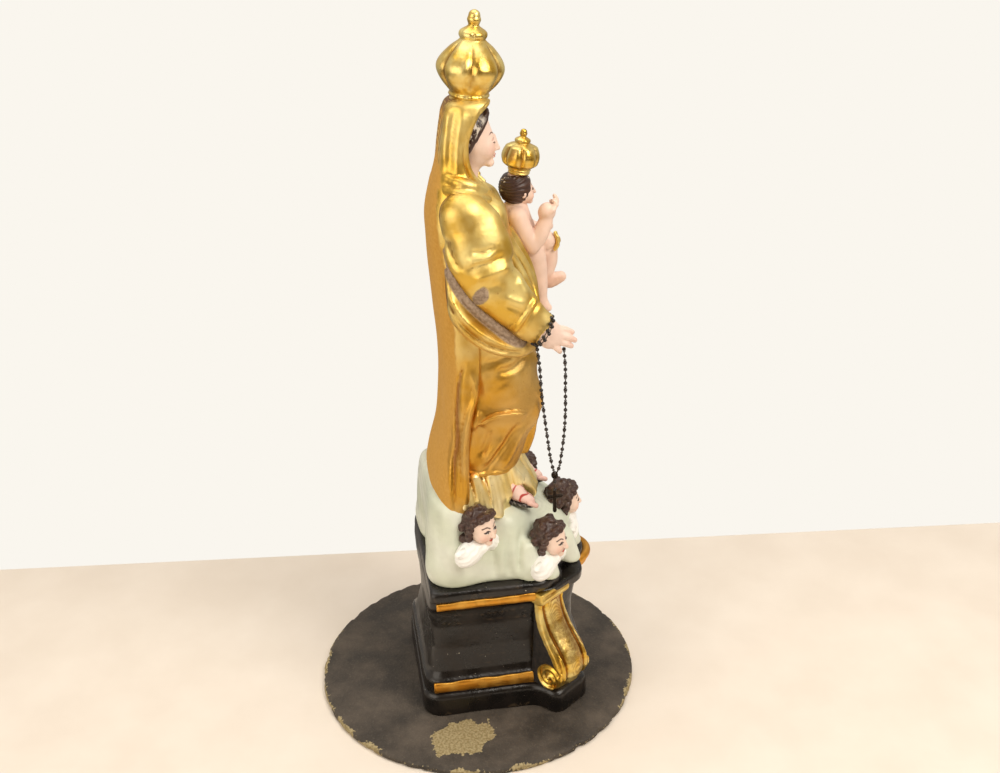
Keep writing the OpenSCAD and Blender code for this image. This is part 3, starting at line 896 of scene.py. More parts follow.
class Palette:
    """Every finish of the statue, each built once."""

    def __init__(self) -> None:
        """Builds the materials."""
        # The gown's gold deepens towards the bottom as painted shade.
        self.gold = GoldLeaf(deepen=0.6).material()
        # The under-robe's paler leaf; its painted shade in the hollows is a lighter orange.
        self.pale_gold = GoldLeaf(
            name="pale_gold_leaf", leaf="F8DF92", pale="FFF2C4", hollow="C4882C", rough=(0.36, 0.52)
        ).material()
        self.crown_gold = GoldLeaf(name="crown_gold_leaf", rough=(0.26, 0.42), lap=14, wave=6).material()
        self.console = GoldLeaf(
            name="console_gold_leaf", rough=(0.28, 0.44), lap=14, wave=6, lining=("0F0C0A", "231C17")
        ).material()
        # Powdered gilding in oil on the pedestal, flatter and more orange than leaf.
        self.gilding = GoldLeaf(
            name="oil_gilding", leaf="D9983A", pale="E8B252", rough=(0.36, 0.55), lap=12
        ).material()
        self.flesh = OilPaint("flesh_paint_on_gesso", rough=(0.4, 0.52), grime_and_shade_share=0.3).material()
        self.hair = OilPaint("hair_paint_on_gesso", rough=(0.34, 0.5), relief=0.2, chips=0.25, fleck="D9CDB8").material()
        # The cloud's grey-green in its hollows is painted shade, on the cloud and on the cherubs' wings.
        self.cloud = OilPaint(
            "cloud_paint_on_gesso", rough=(0.3, 0.5), brush=6, relief=0.4, grime_and_shade="B4B9A2", grime_and_shade_share=0.35
        ).material()
        self.sandal = OilPaint("sandal_paint", rough=(0.35, 0.5)).material()
        self.black = BlackPaint().material()
        self.board = WornBoard().material()
        self.bead = Plain("polished_black_bead", "100C0B", "2A201C", 0.22).material()
        self.wire = Plain("tarnished_wire", "3C342C", "5A5046", 0.42, metal=1.0).material()
        self.cross = Plain("blackened_metal", "1B1714", "3A322B", 0.4, metal=1.0).material()
        self.wood = Plain("bare_limewood", "B98F5E", "D0A877", 0.6, grain=0.8).material()


# ---------------------------------------------------------------- studio


@dataclass(frozen=True)
class Studio:
    """The pale floor, the plain backdrop light and the camera, all in millimetres."""

    eye: Vec = (-836.8, 101.0, 681.2)
    ahead: Vec = (0.8825, -0.1319, -0.4513)
    roll: float = -1.49
    focal: float = 46.8
    edge: tuple[Flat, Flat] = ((258, 755), (18, -1405))
    depth: float = 2400

    def camera(self) -> None:
        """Places the camera, level but for a slight roll."""
        ahead = Vector(self.ahead).normalized()
        right = ahead.cross(Vector((0, 0, 1))).normalized()
        up = right.cross(ahead)
        turn = Matrix.Rotation(math.radians(-self.roll), 3, ahead)
        right, up = turn @ right, turn @ up
        data = bpy.data.cameras.new("camera")
        data.lens, data.sensor_width = self.focal, 36
        camera = bpy.data.objects.new("camera", data)
        basis = Matrix((right, up, -ahead)).transposed().to_4x4()
        camera.matrix_world = Matrix.Translation(Vector(self.eye) * MM) @ basis
        bpy.context.scene.collection.objects.link(camera)
        bpy.context.scene.camera = camera

    def floor(self) -> None:
        """Lays the floor, which ends in a straight line behind the statue."""
        (ax, ay), (bx, by) = self.edge
        corners = [(ax, ay, 0), (bx, by, 0), (bx - self.depth, by, 0), (ax - self.depth, ay, 0)]
        mesh = bpy.data.meshes.new("floor")
        mesh.from_pydata([tuple(v * MM for v in c) for c in corners], [], [(3, 2, 1, 0)])
        if mesh.polygons[0].normal.z < 0:
            mesh.flip_normals()
        material, tree, shader, at = blank("cream_table_cloth")
        weave = node(tree, "ShaderNodeTexNoise", {"Vector": at, "Scale": per(60), "Detail": 4.0})
        colour = mixed(tree, spread(tree, weave, (0.35, 0.7), (0, 1)), linear("E4DACD"), linear("EAE1D5"))
        tree.links.new(colour, shader.inputs["Base Color"])
        shader.inputs["Roughness"].default_value = 0.8
        mesh.materials.append(material)
        floor = bpy.data.objects.new("floor", mesh)
        bpy.context.scene.collection.objects.link(floor)

    def light(self, name: str, at: Vec, power: float, size: float, tint: str) -> None:
        """Hangs one soft square light, aimed at the statue's middle."""
        data = bpy.data.lights.new(name, "AREA")
        data.energy, data.size, data.color = power, size * MM, linear(tint)[:3]
        lamp = bpy.data.objects.new(name, data)
        away = Vector(at) - Vector((0, -10, 260))
        lamp.matrix_world = Matrix.Translation(Vector(at) * MM) @ away.to_track_quat("Z", "Y").to_matrix().to_4x4()
        bpy.context.scene.collection.objects.link(lamp)

    def sky(self) -> None:
        """Surrounds all with warm white, dimmer on the side that the statue's right faces."""
        world = bpy.data.worlds.new("room")
        bpy.context.scene.world = world
        world.use_nodes = True
        tree = world.node_tree
        tree.nodes.clear()
        way = node(tree, "ShaderNodeTexCoord").outputs["Generated"]
        part = node(tree, "ShaderNodeSeparateXYZ", {0: way})
        shade = spread(tree, part.outputs[0], (-0.75, 0.35), (0, 1))
        glow = node(
            tree,
            "ShaderNodeValToRGB",
            {0: shade},
            stops=((0.0, "7C6850"), (1.0, "F4EDE4"), (0.45, "B8A68E")),
        )
        low = spread(tree, part.outputs[2], (-0.5, 0.15), (0.35, 1))
        dim = node(tree, "ShaderNodeMix", {0: low, 6: linear("3A2C1E"), 7: glow}, data_type="RGBA")
        lit = node(tree, "ShaderNodeBackground", {0: dim.outputs[2], 1: 0.7})
        seen = node(tree, "ShaderNodeBackground", {0: linear("FAF6EE"), 1: 1.0})
        path = node(tree, "ShaderNodeLightPath").outputs["Is Camera Ray"]
        both = node(tree, "ShaderNodeMixShader", {0: path, 1: lit, 2: seen})
        node(tree, "ShaderNodeOutputWorld", {0: both})

    def build(self) -> None:
        """Sets up the whole studio."""
        self.camera()
        self.floor()
        self.sky()
        self.light("key", (-700, -620, 1150), 13, 720, "FFF8EF")
        self.light("fill", (-620, 820, 620), 6, 900, "FFF6EA")
        self.light("top", (150, 100, 1500), 7, 1100, "FFFBF5")
        scene = bpy.context.scene
        scene.view_settings.view_transform = "Standard"


# ---------------------------------------------------------------- what repeats along a path


class Strung(Enum):
    """What Geometry Nodes set along a path."""

    BEAD = "bead"
    LINK = "link"


def strung(name: str, path: np.ndarray, kind: Strung, size: float, first: float, pitch: float,
           finish: bpy.types.Material, body: str) -> bpy.types.Object:
    """Sets beads or wire links along a path with Geometry Nodes, then makes them one mesh.

    Args:
        name: The piece's name.
        path: The points that it follows, in millimetres.
        kind: Beads, or links in pairs at right angles.
        size: The radius of a bead or a link.
        first: Where along the path the first one is.
        pitch: The distance from one to the next.
        finish: The material.
        body: The body that the piece rides on.

    Returns:
        The piece.
    """
    curve = bpy.data.curves.new(name + "_path", "CURVE")
    curve.dimensions = "3D"
    spline = curve.splines.new("POLY")
    spline.points.add(len(path) - 1)
    for point, co in zip(spline.points, path):
        point.co = (*(co * MM), 1)
    carrier = bpy.data.objects.new(name + "_carrier", curve)
    bpy.context.scene.collection.objects.link(carrier)
    tree = bpy.data.node_groups.new(name + "_tree", "GeometryNodeTree")
    face = tree.interface
    face.new_socket("Geometry", in_out="INPUT", socket_type="NodeSocketGeometry")
    sockets = {
        key: face.new_socket(key, in_out="INPUT", socket_type="NodeSocketFloat").identifier
        for key in ("Size", "First", "Pitch")
    }
    coat = face.new_socket("Finish", in_out="INPUT", socket_type="NodeSocketMaterial").identifier
    face.new_socket("Geometry", in_out="OUTPUT", socket_type="NodeSocketGeometry")
    given = node(tree, "NodeGroupInput").outputs
    trimmed = node(
        tree, "GeometryNodeTrimCurve", {"Curve": given["Geometry"], 4: given["First"], 5: 100.0}, mode="LENGTH"
    )
    points = node(
        tree, "GeometryNodeCurveToPoints", {"Curve": trimmed, "Length": given["Pitch"]}, mode="LENGTH"
    )
    if kind is Strung.BEAD:
        shape = node(
            tree, "GeometryNodeMeshUVSphere", {"Segments": 12, "Rings": 8, "Radius": given["Size"]}
        ).outputs[0]
        turn: object = points.outputs["Rotation"]
    else:
        ring = node(tree, "GeometryNodeCurvePrimitiveCircle", {"Resolution": 10, "Radius": given["Size"]})
        thick = node(tree, "ShaderNodeMath", {0: given["Size"], 1: 0.36}, operation="MULTIPLY")
        wire = node(
            tree, "GeometryNodeCurvePrimitiveCircle", {"Resolution": 5, "Radius": thick.outputs[0]}
        )
        shape = node(tree, "GeometryNodeCurveToMesh", {"Curve": ring, "Profile Curve": wire}).outputs[0]
        odd = node(
            tree,
            "ShaderNodeMath",
            {0: node(tree, "GeometryNodeInputIndex"), 1: math.pi / 2},
            operation="MULTIPLY",
        )
        twist = node(tree, "ShaderNodeCombineXYZ", {0: math.pi / 2, 2: odd.outputs[0]})
        local = node(tree, "FunctionNodeEulerToRotation", {0: twist.outputs[0]})
        turn = node(
            tree,
            "FunctionNodeRotateRotation",
            {"Rotation": points.outputs["Rotation"], "Rotate By": local.outputs[0]},
            rotation_space="LOCAL",
        ).outputs[0]
    placed = node(
        tree, "GeometryNodeInstanceOnPoints", {"Points": points.outputs[0], "Instance": shape, "Rotation": turn}
    )
    real = node(tree, "GeometryNodeRealizeInstances", {0: placed})
    smooth_faces = node(tree, "GeometryNodeSetShadeSmooth", {0: real})
    dressed = node(tree, "GeometryNodeSetMaterial", {0: smooth_faces, "Material": given["Finish"]})
    node(tree, "NodeGroupOutput", {0: dressed})
    modifier = carrier.modifiers.new("strung", "NODES")
    modifier.node_group = tree
    for key, value in (("Size", size), ("First", first), ("Pitch", pitch)):
        modifier[sockets[key]] = value * MM
    modifier[coat] = finish
    done = carrier.evaluated_get(bpy.context.evaluated_depsgraph_get())
    mesh = bpy.data.meshes.new_from_object(done)
    carrier.modifiers.clear()
    bpy.data.objects.remove(carrier)
    mesh.name = name
    if not mesh.materials:
        mesh.materials.append(finish)
    piece = bpy.data.objects.new(name, mesh)
    bpy.context.scene.collection.objects.link(piece)
    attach(piece, body)
    log.info("%s: %d faces", name, len(mesh.polygons))
    return piece


def tube(path: np.ndarray, radius: float, sides: int = 8) -> Skin:
    """A round tube along a path, closed at both ends."""
    way = np.gradient(path, axis=0)
    way /= np.linalg.norm(way, axis=1)[:, None]
    side = np.cross(way, [1.0, 0.0, 0.0] if abs(way[0, 0]) < 0.8 else [0.0, 0.0, 1.0])
    for i in range(1, len(side)):
        carried = side[i - 1] - way[i] * (side[i - 1] @ way[i])
        side[i] = carried / np.linalg.norm(carried)
    side[0] /= np.linalg.norm(side[0])
    other = np.cross(way, side)
    a = np.linspace(0, 2 * np.pi, sides, endpoint=False)
    rings = path[:, None] + radius * (
        np.cos(a)[None, :, None] * side[:, None] + np.sin(a)[None, :, None] * other[:, None]
    )
    return sheet_skin(rings)


@dataclass(frozen=True)
class Rosary:
    """A small rosary: two turns round the wrist, one hanging loop, a medal and a cross."""

    palette: Palette
    wrist: Vec = (-42, -45, 317)
    wrap_r: float = 11.6
    turns: float = 2.0
    climb: Flat = (1.2, 5.2)
    chain_d: float = 0.6
    bead_r: float = 1.4
    pitch: float = 5.2
    loop: tuple[Vec, ...] = (
        (-42, -44, 303), (-42, -46, 285), (-42, -47, 266), (-42, -49, 247), (-42, -51, 230),
        (-42, -53, 214), (-42, -56, 201), (-42, -59, 204), (-42, -61, 215), (-42, -63, 232),
        (-42, -64, 250), (-42, -64, 268), (-42, -64, 284), (-42, -63, 299),
    )
    drop: tuple[Vec, ...] = ((-42, -56, 196), (-42, -56, 193), (-42, -56, 190), (-42, -56, 187))
    medal_at: Vec = (-42, -56, 199)

    def wrap_path(self) -> np.ndarray:
        """The helix round the wrist."""
        count = 80
        turn = np.linspace(0, 2 * np.pi * self.turns, count)
        up = np.linspace(self.climb[0], self.climb[1], count)
        x = self.wrist[0] + self.wrap_r * np.sin(turn)
        y = self.wrist[1] + self.wrap_r * np.cos(turn) * 0.588 - up * 0.809
        z = self.wrist[2] - self.wrap_r * np.cos(turn) * 0.809 - up * 0.588
        return np.stack([x, y, z], 1)

    def cord_piece(self, name: str, path: np.ndarray, nodes: Sequence[str], body: str) -> None:
        piece = tube(path, self.chain_d / 2).make(name, self.palette.wire, body)
        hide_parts(*nodes)

    def beads(self, name: str, path: np.ndarray, node_name: str, body: str) -> bpy.types.Object:
        """Threads black beads along a stretch of the chain."""
        piece = strung(name, path, Strung.BEAD, self.bead_r, self.pitch / 2, self.pitch, self.palette.bead, body)
        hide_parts(node_name)
        return piece

    def links(self, name: str, path: np.ndarray, body: str) -> bpy.types.Object:
        """Sets pairs of small rings between the beads."""
        piece = strung(name, path, Strung.LINK, 0.75, self.pitch / 6, self.pitch / 3, self.palette.wire, body)
        return piece

    def medal(self) -> bpy.types.Object:
        """The small plain medal where the loop closes, with its rolled rim."""
        a = np.linspace(0, 2 * np.pi, 24, endpoint=False)
        profile = [(0.2, -0.5), (1.9, -0.5), (2.0, -0.8), (2.4, -0.8), (2.5, 0), (2.4, 0.8), (2.0, 0.8), (1.9, 0.5), (0.2, 0.5)]
        rows = np.array([[(r * np.cos(t), r * np.sin(t) * 1.15, h) for t in a] for r, h in profile])
        m = np.array([[0.0, 0, 1], [1, 0, 0], [0, 1, 0]])
        piece = sheet_skin(rows).moved(m, self.medal_at).make("medal", self.palette.cross, "rosary_loop")
        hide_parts("rosary_medal")
        return piece

    def cross(self) -> bpy.types.Object:
        """The plain cross, its arms flaring a little to the ends."""
        x, y, top = -42.0, -56.0, 187.0
        clay = Clay((x - 3, y - 8, top - 21), (x + 3, y + 8, top + 2), 0.35)
        for a, b, r in (
            ((x, y, top - 0.5), (x, y, top - 18.2), (1.2, 1.5)),
            ((x, y - 4.6, top - 6), (x, y + 4.6, top - 6), (1.4, 1.4)),
        ):
            clay.add(Bone((a, b), r, steps=1, thin=(0.75, 1, 1)), 0.4)
        piece = Skin.of(clay).make("cross", self.palette.cross, "rosary_drop")
        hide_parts("rosary_cross")
        return piece

    def build(self) -> None:
        """Makes the three stretches of chain with what hangs on them."""
        wrap = self.wrap_path()
        loop = curve_through(self.loop, 6)
        drop = curve_through(self.drop, 3)
        wrap_beads = self.beads("wrist_beads", wrap, "rosary_wrap_beads", "statue")
        self.cord_piece("wrist_chain", wrap, ["rosary_wrap_chain"], "statue")
        hung = [
            self.beads("loop_beads", loop, "rosary_loop_beads", "rosary_loop"),
            self.links("loop_links", loop, "rosary_loop"),
            self.medal(),
        ]
        self.cord_piece("loop_chain", loop, ["rosary_loop_chain"], "rosary_loop")
        short = tube(drop, self.chain_d / 2).make("drop_chain", self.palette.wire, "rosary_drop")
        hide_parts("rosary_drop_chain")
        self.beads("drop_beads", drop, "rosary_drop_beads", "rosary_drop")
        self.cross()


# ---------------------------------------------------------------- base


@dataclass(frozen=True)
class RoundBoard:
    """The thin round board, scuffed and chipped at its rim."""

    palette: Palette
    radius: float = 125
    thick: float = 5
    patch_at: Flat = (-86, 24)

    def build(self) -> None:
        """Turns the board and marks where its paint is gone."""
        count = 360
        a = np.linspace(0, 2 * np.pi, count, endpoint=False)
        r, t = self.radius, self.thick
        profile = [(2, 0), (40, 0), (90, 0), (r - 3, 0), (r - 1, 0.4), (r - 0.3, 1.4), (r - 0.3, t - 1.6)]
        profile += [(r - 0.9, t - 0.5), (r - 2.2, t)] + [(q, t) for q in range(int(r) - 5, 1, -2)]
        rows = np.array([[(q * np.cos(u), q * np.sin(u), h) for u in a] for q, h in profile])
        skin = sheet_skin(rows)
        p = skin.points
        out = np.hypot(p[:, 0], p[:, 1])
        rim = smooth(r - 6, r - 1, out)
        bite = grain(p, 16, 3) * 0.6 + grain(p, 6, 4) * 0.5
        p[:, :2] *= (1 - rim * np.clip(bite, 0, 1) * 1.6 / r)[:, None]
        top = p[:, 2] > t - 0.7
        p[:, 2] -= top * rim * np.clip(grain(p, 9, 5), 0, 1) * 0.9
        u = (p[:, :2] - np.array(self.patch_at)) @ turn_matrix((0, 0, 14))[:2, :2]
        wave = 1 + 0.13 * grain(p, 11, 6) + 0.1 * grain(p, 5, 7)
        near = np.sqrt((u[:, 0] / 19) ** 2 + (u[:, 1] / 25) ** 2) * wave
        patch = (1 - smooth(0.85, 1.05, near)) * top
        p[:, 2] += patch * (0.25 + 0.15 * grain(p, 3, 8))
        edge = smooth(r - 4.5, r - 0.5, out + 2.2 * grain(p, 13, 9)) * smooth(-0.1, 0.5, grain(p, 30, 12)) * 0.8
        side = (out > r - 1.3) & (p[:, 2] < t - 0.6)
        skin.values["bare"] = np.clip(patch + edge + side * 0.25, 0, 1)
        piece = skin.make("board", self.palette.board)
        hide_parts("round_board")


def polygon_distance(x: np.ndarray, y: np.ndarray, corners: Sequence[Flat]) -> np.ndarray:
    """The distance of flat points from a closed outline, negative inside."""
    best = np.full(np.broadcast(x, y).shape, 1e9)
    inside = np.zeros(best.shape, bool)
    for (ax, ay), (bx, by) in zip(corners, [*corners[1:], corners[0]]):
        ex, ey = bx - ax, by - ay
        h = np.clip(((x - ax) * ex + (y - ay) * ey) / (ex * ex + ey * ey), 0, 1)
        best = np.minimum(best, (x - ax - h * ex) ** 2 + (y - ay - h * ey) ** 2)
        if ay != by:
            crosses = ((ay > y) != (by > y)) & (x < ex * (y - ay) / ey + ax)
            inside ^= crosses
    return np.where(inside, -1, 1) * np.sqrt(best)


@dataclass(frozen=True)
class Pedestal:
    """The black stepped block with hollow sides, its gilt strips and its front moulding."""

    palette: Palette
    half: float = 60
    back: float = 50
    front: float = -82
    turn: float = 38
    plinth_top: float = 25
    die_top: float = 109
    top: float = 118
    lean: float = 0.0

    def outward(self, reach: float, side: float) -> Flat:
        """A point beside the right console: out from its foot by reach, forward by side."""
        a = math.radians(self.turn)
        out, across = (-math.cos(a), -math.sin(a)), (math.sin(a), -math.cos(a))
        return -50 + reach * out[0] + side * across[0], -50 + reach * out[1] + side * across[1]

    def blocked(self, reach: float, half: float, bow: float) -> list[Flat]:
        """The outline with a block under each console."""
        right = [
            (-self.half + 9, self.back), (-self.half, self.back - 9), (-self.half, -37),
            self.outward(reach, -half + 3), self.outward(reach, half + 6),
            self.outward(reach - 12, half + 6), (-16, self.front - bow),
        ]
        return right + [(-x, y) for x, y in reversed(right)]

    def plain(self) -> list[Flat]:
        """The outline of the body between the consoles."""
        w = self.half
        right = [(-w + 9, self.back), (-w, self.back - 9), (-w, self.front + 30), (-w + 22, self.front)]
        return right + [(-x, y) for x, y in reversed(right)]

    def tier(self, name: str, corners: list[Flat], low: float, high: float,
             inset: Callable[[np.ndarray], np.ndarray], nodes: Sequence[str]) -> None:
        """Builds one level of the block from its outline and how far it draws in with height."""
        clay = Clay((-82, -100, low - 2), (82, 56, high + 2), 1.15)
        x, y, z = clay.axes
        flat = blurred(polygon_distance(x[:, None], y[None, :], corners), 6, 30)
        side = (flat[:, :, None] + inset(z)[None, None, :]).astype(np.float32)
        lean = 0.11 * np.clip(z - 25, 0, None)
        post = (y[None, :, None] - (self.back - lean)[None, None, :]) * np.ones_like(side)
        body = -blend_min(-side, -post.astype(np.float32), 3.0)
        ends = np.maximum(low - z, z - high)[None, None, :] + 0 * side
        clay.field = -blend_min(-body, -ends.astype(np.float32), 1.6)
        clay.ripple(lambda a, b, c: 0.25 * np.sin(a / 7 + b / 9) * np.sin(c / 6 + a / 11))
        piece = Skin.of(clay).make(name, self.palette.black)
        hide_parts(*nodes)

    def draw_in(self, z: np.ndarray) -> np.ndarray:
        """How far the body's sides are hollowed at each height."""
        at = (24, 26, 36, 37.5, 42, 60, 80, 96, 101, 102.5, 109, 111)
        inset = (2, 2, 2.4, 4.5, 7, 10.5, 10.5, 8, 5, 3, 2.6, 2.6)
        return np.interp(z, at, inset)

    def strip(self, name: str, side: Side, low: float, high: float, ends: Flat, out: float,
              node_name: str) -> None:
        """One gilt strip along a side, hand-laid and not quite straight."""
        x = side.value * (self.half + out)
        ys = np.linspace(ends[1], ends[0], 60)
        mid, half = (low + high) / 2, (high - low) / 2
        ring = [(-2.6, -half + 0.3), (-0.5, -half + 0.1), (0, -half + 0.7), (0.35, 0), (0, half - 0.7),
                (-0.5, half - 0.1), (-2.6, half - 0.3), (-2.8, 0)]
        rows = []
        for y in ys:
            wave = 0.35 * math.sin(y / 6.5) + 0.25 * math.sin(y / 2.7 + low)
            taper = 1 - 0.12 * (y - ends[1]) / (ends[0] - ends[1])
            rows.append([
                (x + side.value * (u + 0.12 * math.sin(y / 3 + v)), y, mid + v * taper + wave * (v > 0) * 0.8)
                for u, v in ring
            ])
        skin = sheet_skin(np.array(rows))
        if side is Side.LEFT:
            skin.faces = skin.faces[:, ::-1]
        skin.values["proud"] = 0.5 + 0.12 * grain(skin.points, 4)
        piece = skin.make(name, self.palette.gilding)
        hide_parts(node_name)

    def moulding(self) -> None:
        """The bowed gilt moulding on the front, under the cornice."""
        clay = Clay((-24, -96, 94), (24, -70, 112), 0.8)
        bow = [(22.0 * math.sin(t), -62 - 27.5 * math.cos(t)) for t in np.linspace(-0.9, 0.9, 9)]
        for z, r in ((100.5, 2.4), (105.5, 3.6)):
            clay.add(Bone(tuple((a, b + 4.6 - r, z) for a, b in bow), (r,) * 9, 2), 1.0)
        piece = Skin.of(clay).make("front_moulding_gilt", self.palette.gilding)
        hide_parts("front_moulding")

    def build(self) -> None:
        """Builds the three tiers and their trim."""
        round_over = (lambda low, high, r: lambda z: np.maximum(
            r - np.sqrt(np.maximum(r * r - np.maximum(z - (high - r), 0) ** 2, 0)), 0))
        self.tier("plinth", self.blocked(21, 18, 0), 4.6, self.plinth_top + 0.3,
                  round_over(5, self.plinth_top, 6.0), ["pedestal_plinth"])
        self.tier("pedestal_body", self.plain(), self.plinth_top - 1, self.die_top + 1, self.draw_in,
                  ["pedestal_die"])
        self.tier("cornice", self.blocked(5, 12, 4), self.die_top - 0.4, self.top + 0.3,
                  lambda z: 1.5 + round_over(109, self.top, 5.0)(z), ["pedestal_cornice"])
        for side in Side:
            word = side.name.lower()
            self.strip(f"lower_strip_{word}", side, 26, 36, (41, -37), -1.2, f"lower_fillet_{word}")
            self.strip(f"upper_strip_{word}", side, 102, 109, (36, -38), -1.0, f"upper_fillet_{word}")
        self.moulding()


@dataclass(frozen=True)
class Console:
    """One gilt scroll console: an S-shaped bracket with ridges and a volute at its foot."""

    palette: Palette
    width: float = 34
    turn: float = 38
    at: Flat = (-50, -50)
    eye: Flat = (13, 38)

    def skin(self) -> Skin:
        """Carves the right console in its own plane: out, across and up."""
        clay = Clay((-9, -20, 22), (33, 20, 112), 0.62)
        x, y, z = clay.axes
        outline = [(-6, 26), (10, 25.5), (16, 26.5), (21, 29.5), (25, 34), (27.4, 40), (27.8, 46),
                   (26.8, 52), (24, 58), (20, 63.5), (15.6, 69), (11.4, 75), (8.2, 81), (5.8, 88),
                   (4.4, 95), (4.2, 99), (6.6, 101), (7.4, 104), (6.4, 106.5), (5.8, 109), (-6, 109)]
        flat = polygon_distance(x[:, None], z[None, :], outline).astype(np.float32)
        across = np.abs(y)[None, :, None]
        edge = 17.0 - 0.07 * np.clip(z - 40, 0, 60)
        edge = np.where(z > 99, 15.5, edge)
        profile = 2.0 * np.exp(-((y / 6.6) ** 2)) - 1.5 * np.exp(-(((np.abs(y) - 9.6) / 1.7) ** 2))
        profile = profile + 0.5 * np.exp(-(((np.abs(y) - 12.2) / 1.3) ** 2)) - 0.9 * np.exp(
            -(((np.abs(y) - 14.4) / 0.9) ** 2)
        )
        fade = smooth(101, 96, z) * smooth(24, 31, z)
        front = flat[:, None, :] - (profile[None, :, None] - 1.4) * fade[None, None, :]
        sides = across - edge[None, None, :] + 0 * front
        clay.field = -blend_min(-front.astype(np.float32), -sides.astype(np.float32), 2.2)
        turns = np.linspace(0, 2.1 * 2 * np.pi, 60)
        reach = 11.6 - 1.42 * turns * 0.62
        spiral = [
            (self.eye[0] + r * math.cos(t + 0.4), self.eye[1] + r * math.sin(t + 0.4))
            for r, t in zip(reach, turns)
        ][::3]
        sweep = [(2.5, 96), (4.5, 86), (8.5, 76), (14, 67), (20.5, 58.5), (23.6, 50), (23.8, 43)]
        cuts = [
            Stroke(tuple(spiral), 1.5, -1.7, taper=0.02),
            Stroke(tuple(sweep), 1.3, -1.2, taper=0.08),
            Stroke(((12.4, 38), (13.6, 38)), 2.2, 1.6, taper=0.001),
        ]
        clay.emboss(1, -1, cuts, edge=9)
        clay.emboss(1, 1, cuts, edge=9)
        clay.ripple(lambda a, b, c: 0.08 * np.sin(a / 2.7 + c / 5) * np.sin(b / 4 + 1))
        skin = Skin.of(clay)
        p = skin.points
        deep = smooth(7.4, 8.2, from_path(p[:, 0], p[:, 2], outline[2:21])[0] + 0.4 * grain(p, 6))
        off_eye = smooth(10.6, 11.4, np.hypot(p[:, 0] - self.eye[0], p[:, 2] - self.eye[1]))
        flank = smooth(-2.4, -1.4, np.abs(p[:, 1]) - (17.0 - 0.07 * np.clip(p[:, 2] - 40, 0, 60)))
        skin.values["lining"] = deep * off_eye * flank
        return skin

    def build(self) -> None:
        """Places the right console and its mirror image."""
        carved = self.skin()
        a = math.radians(self.turn)
        for side in Side:
            m = np.array([[-math.cos(a), math.sin(a), 0], [-math.sin(a), -math.cos(a), 0], [0, 0, 1]])
            at = np.array((*self.at, 0.0))
            if side is Side.LEFT:
                m, at = np.diag([-1.0, 1, 1]) @ m, np.diag([-1.0, 1, 1]) @ at
            word = side.name.lower()
            piece = carved.moved(m, tuple(at)).make(f"console_{word}", self.palette.console)
            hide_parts(f"scroll_console_{word}")


# ---------------------------------------------------------------- cloud and cherubs


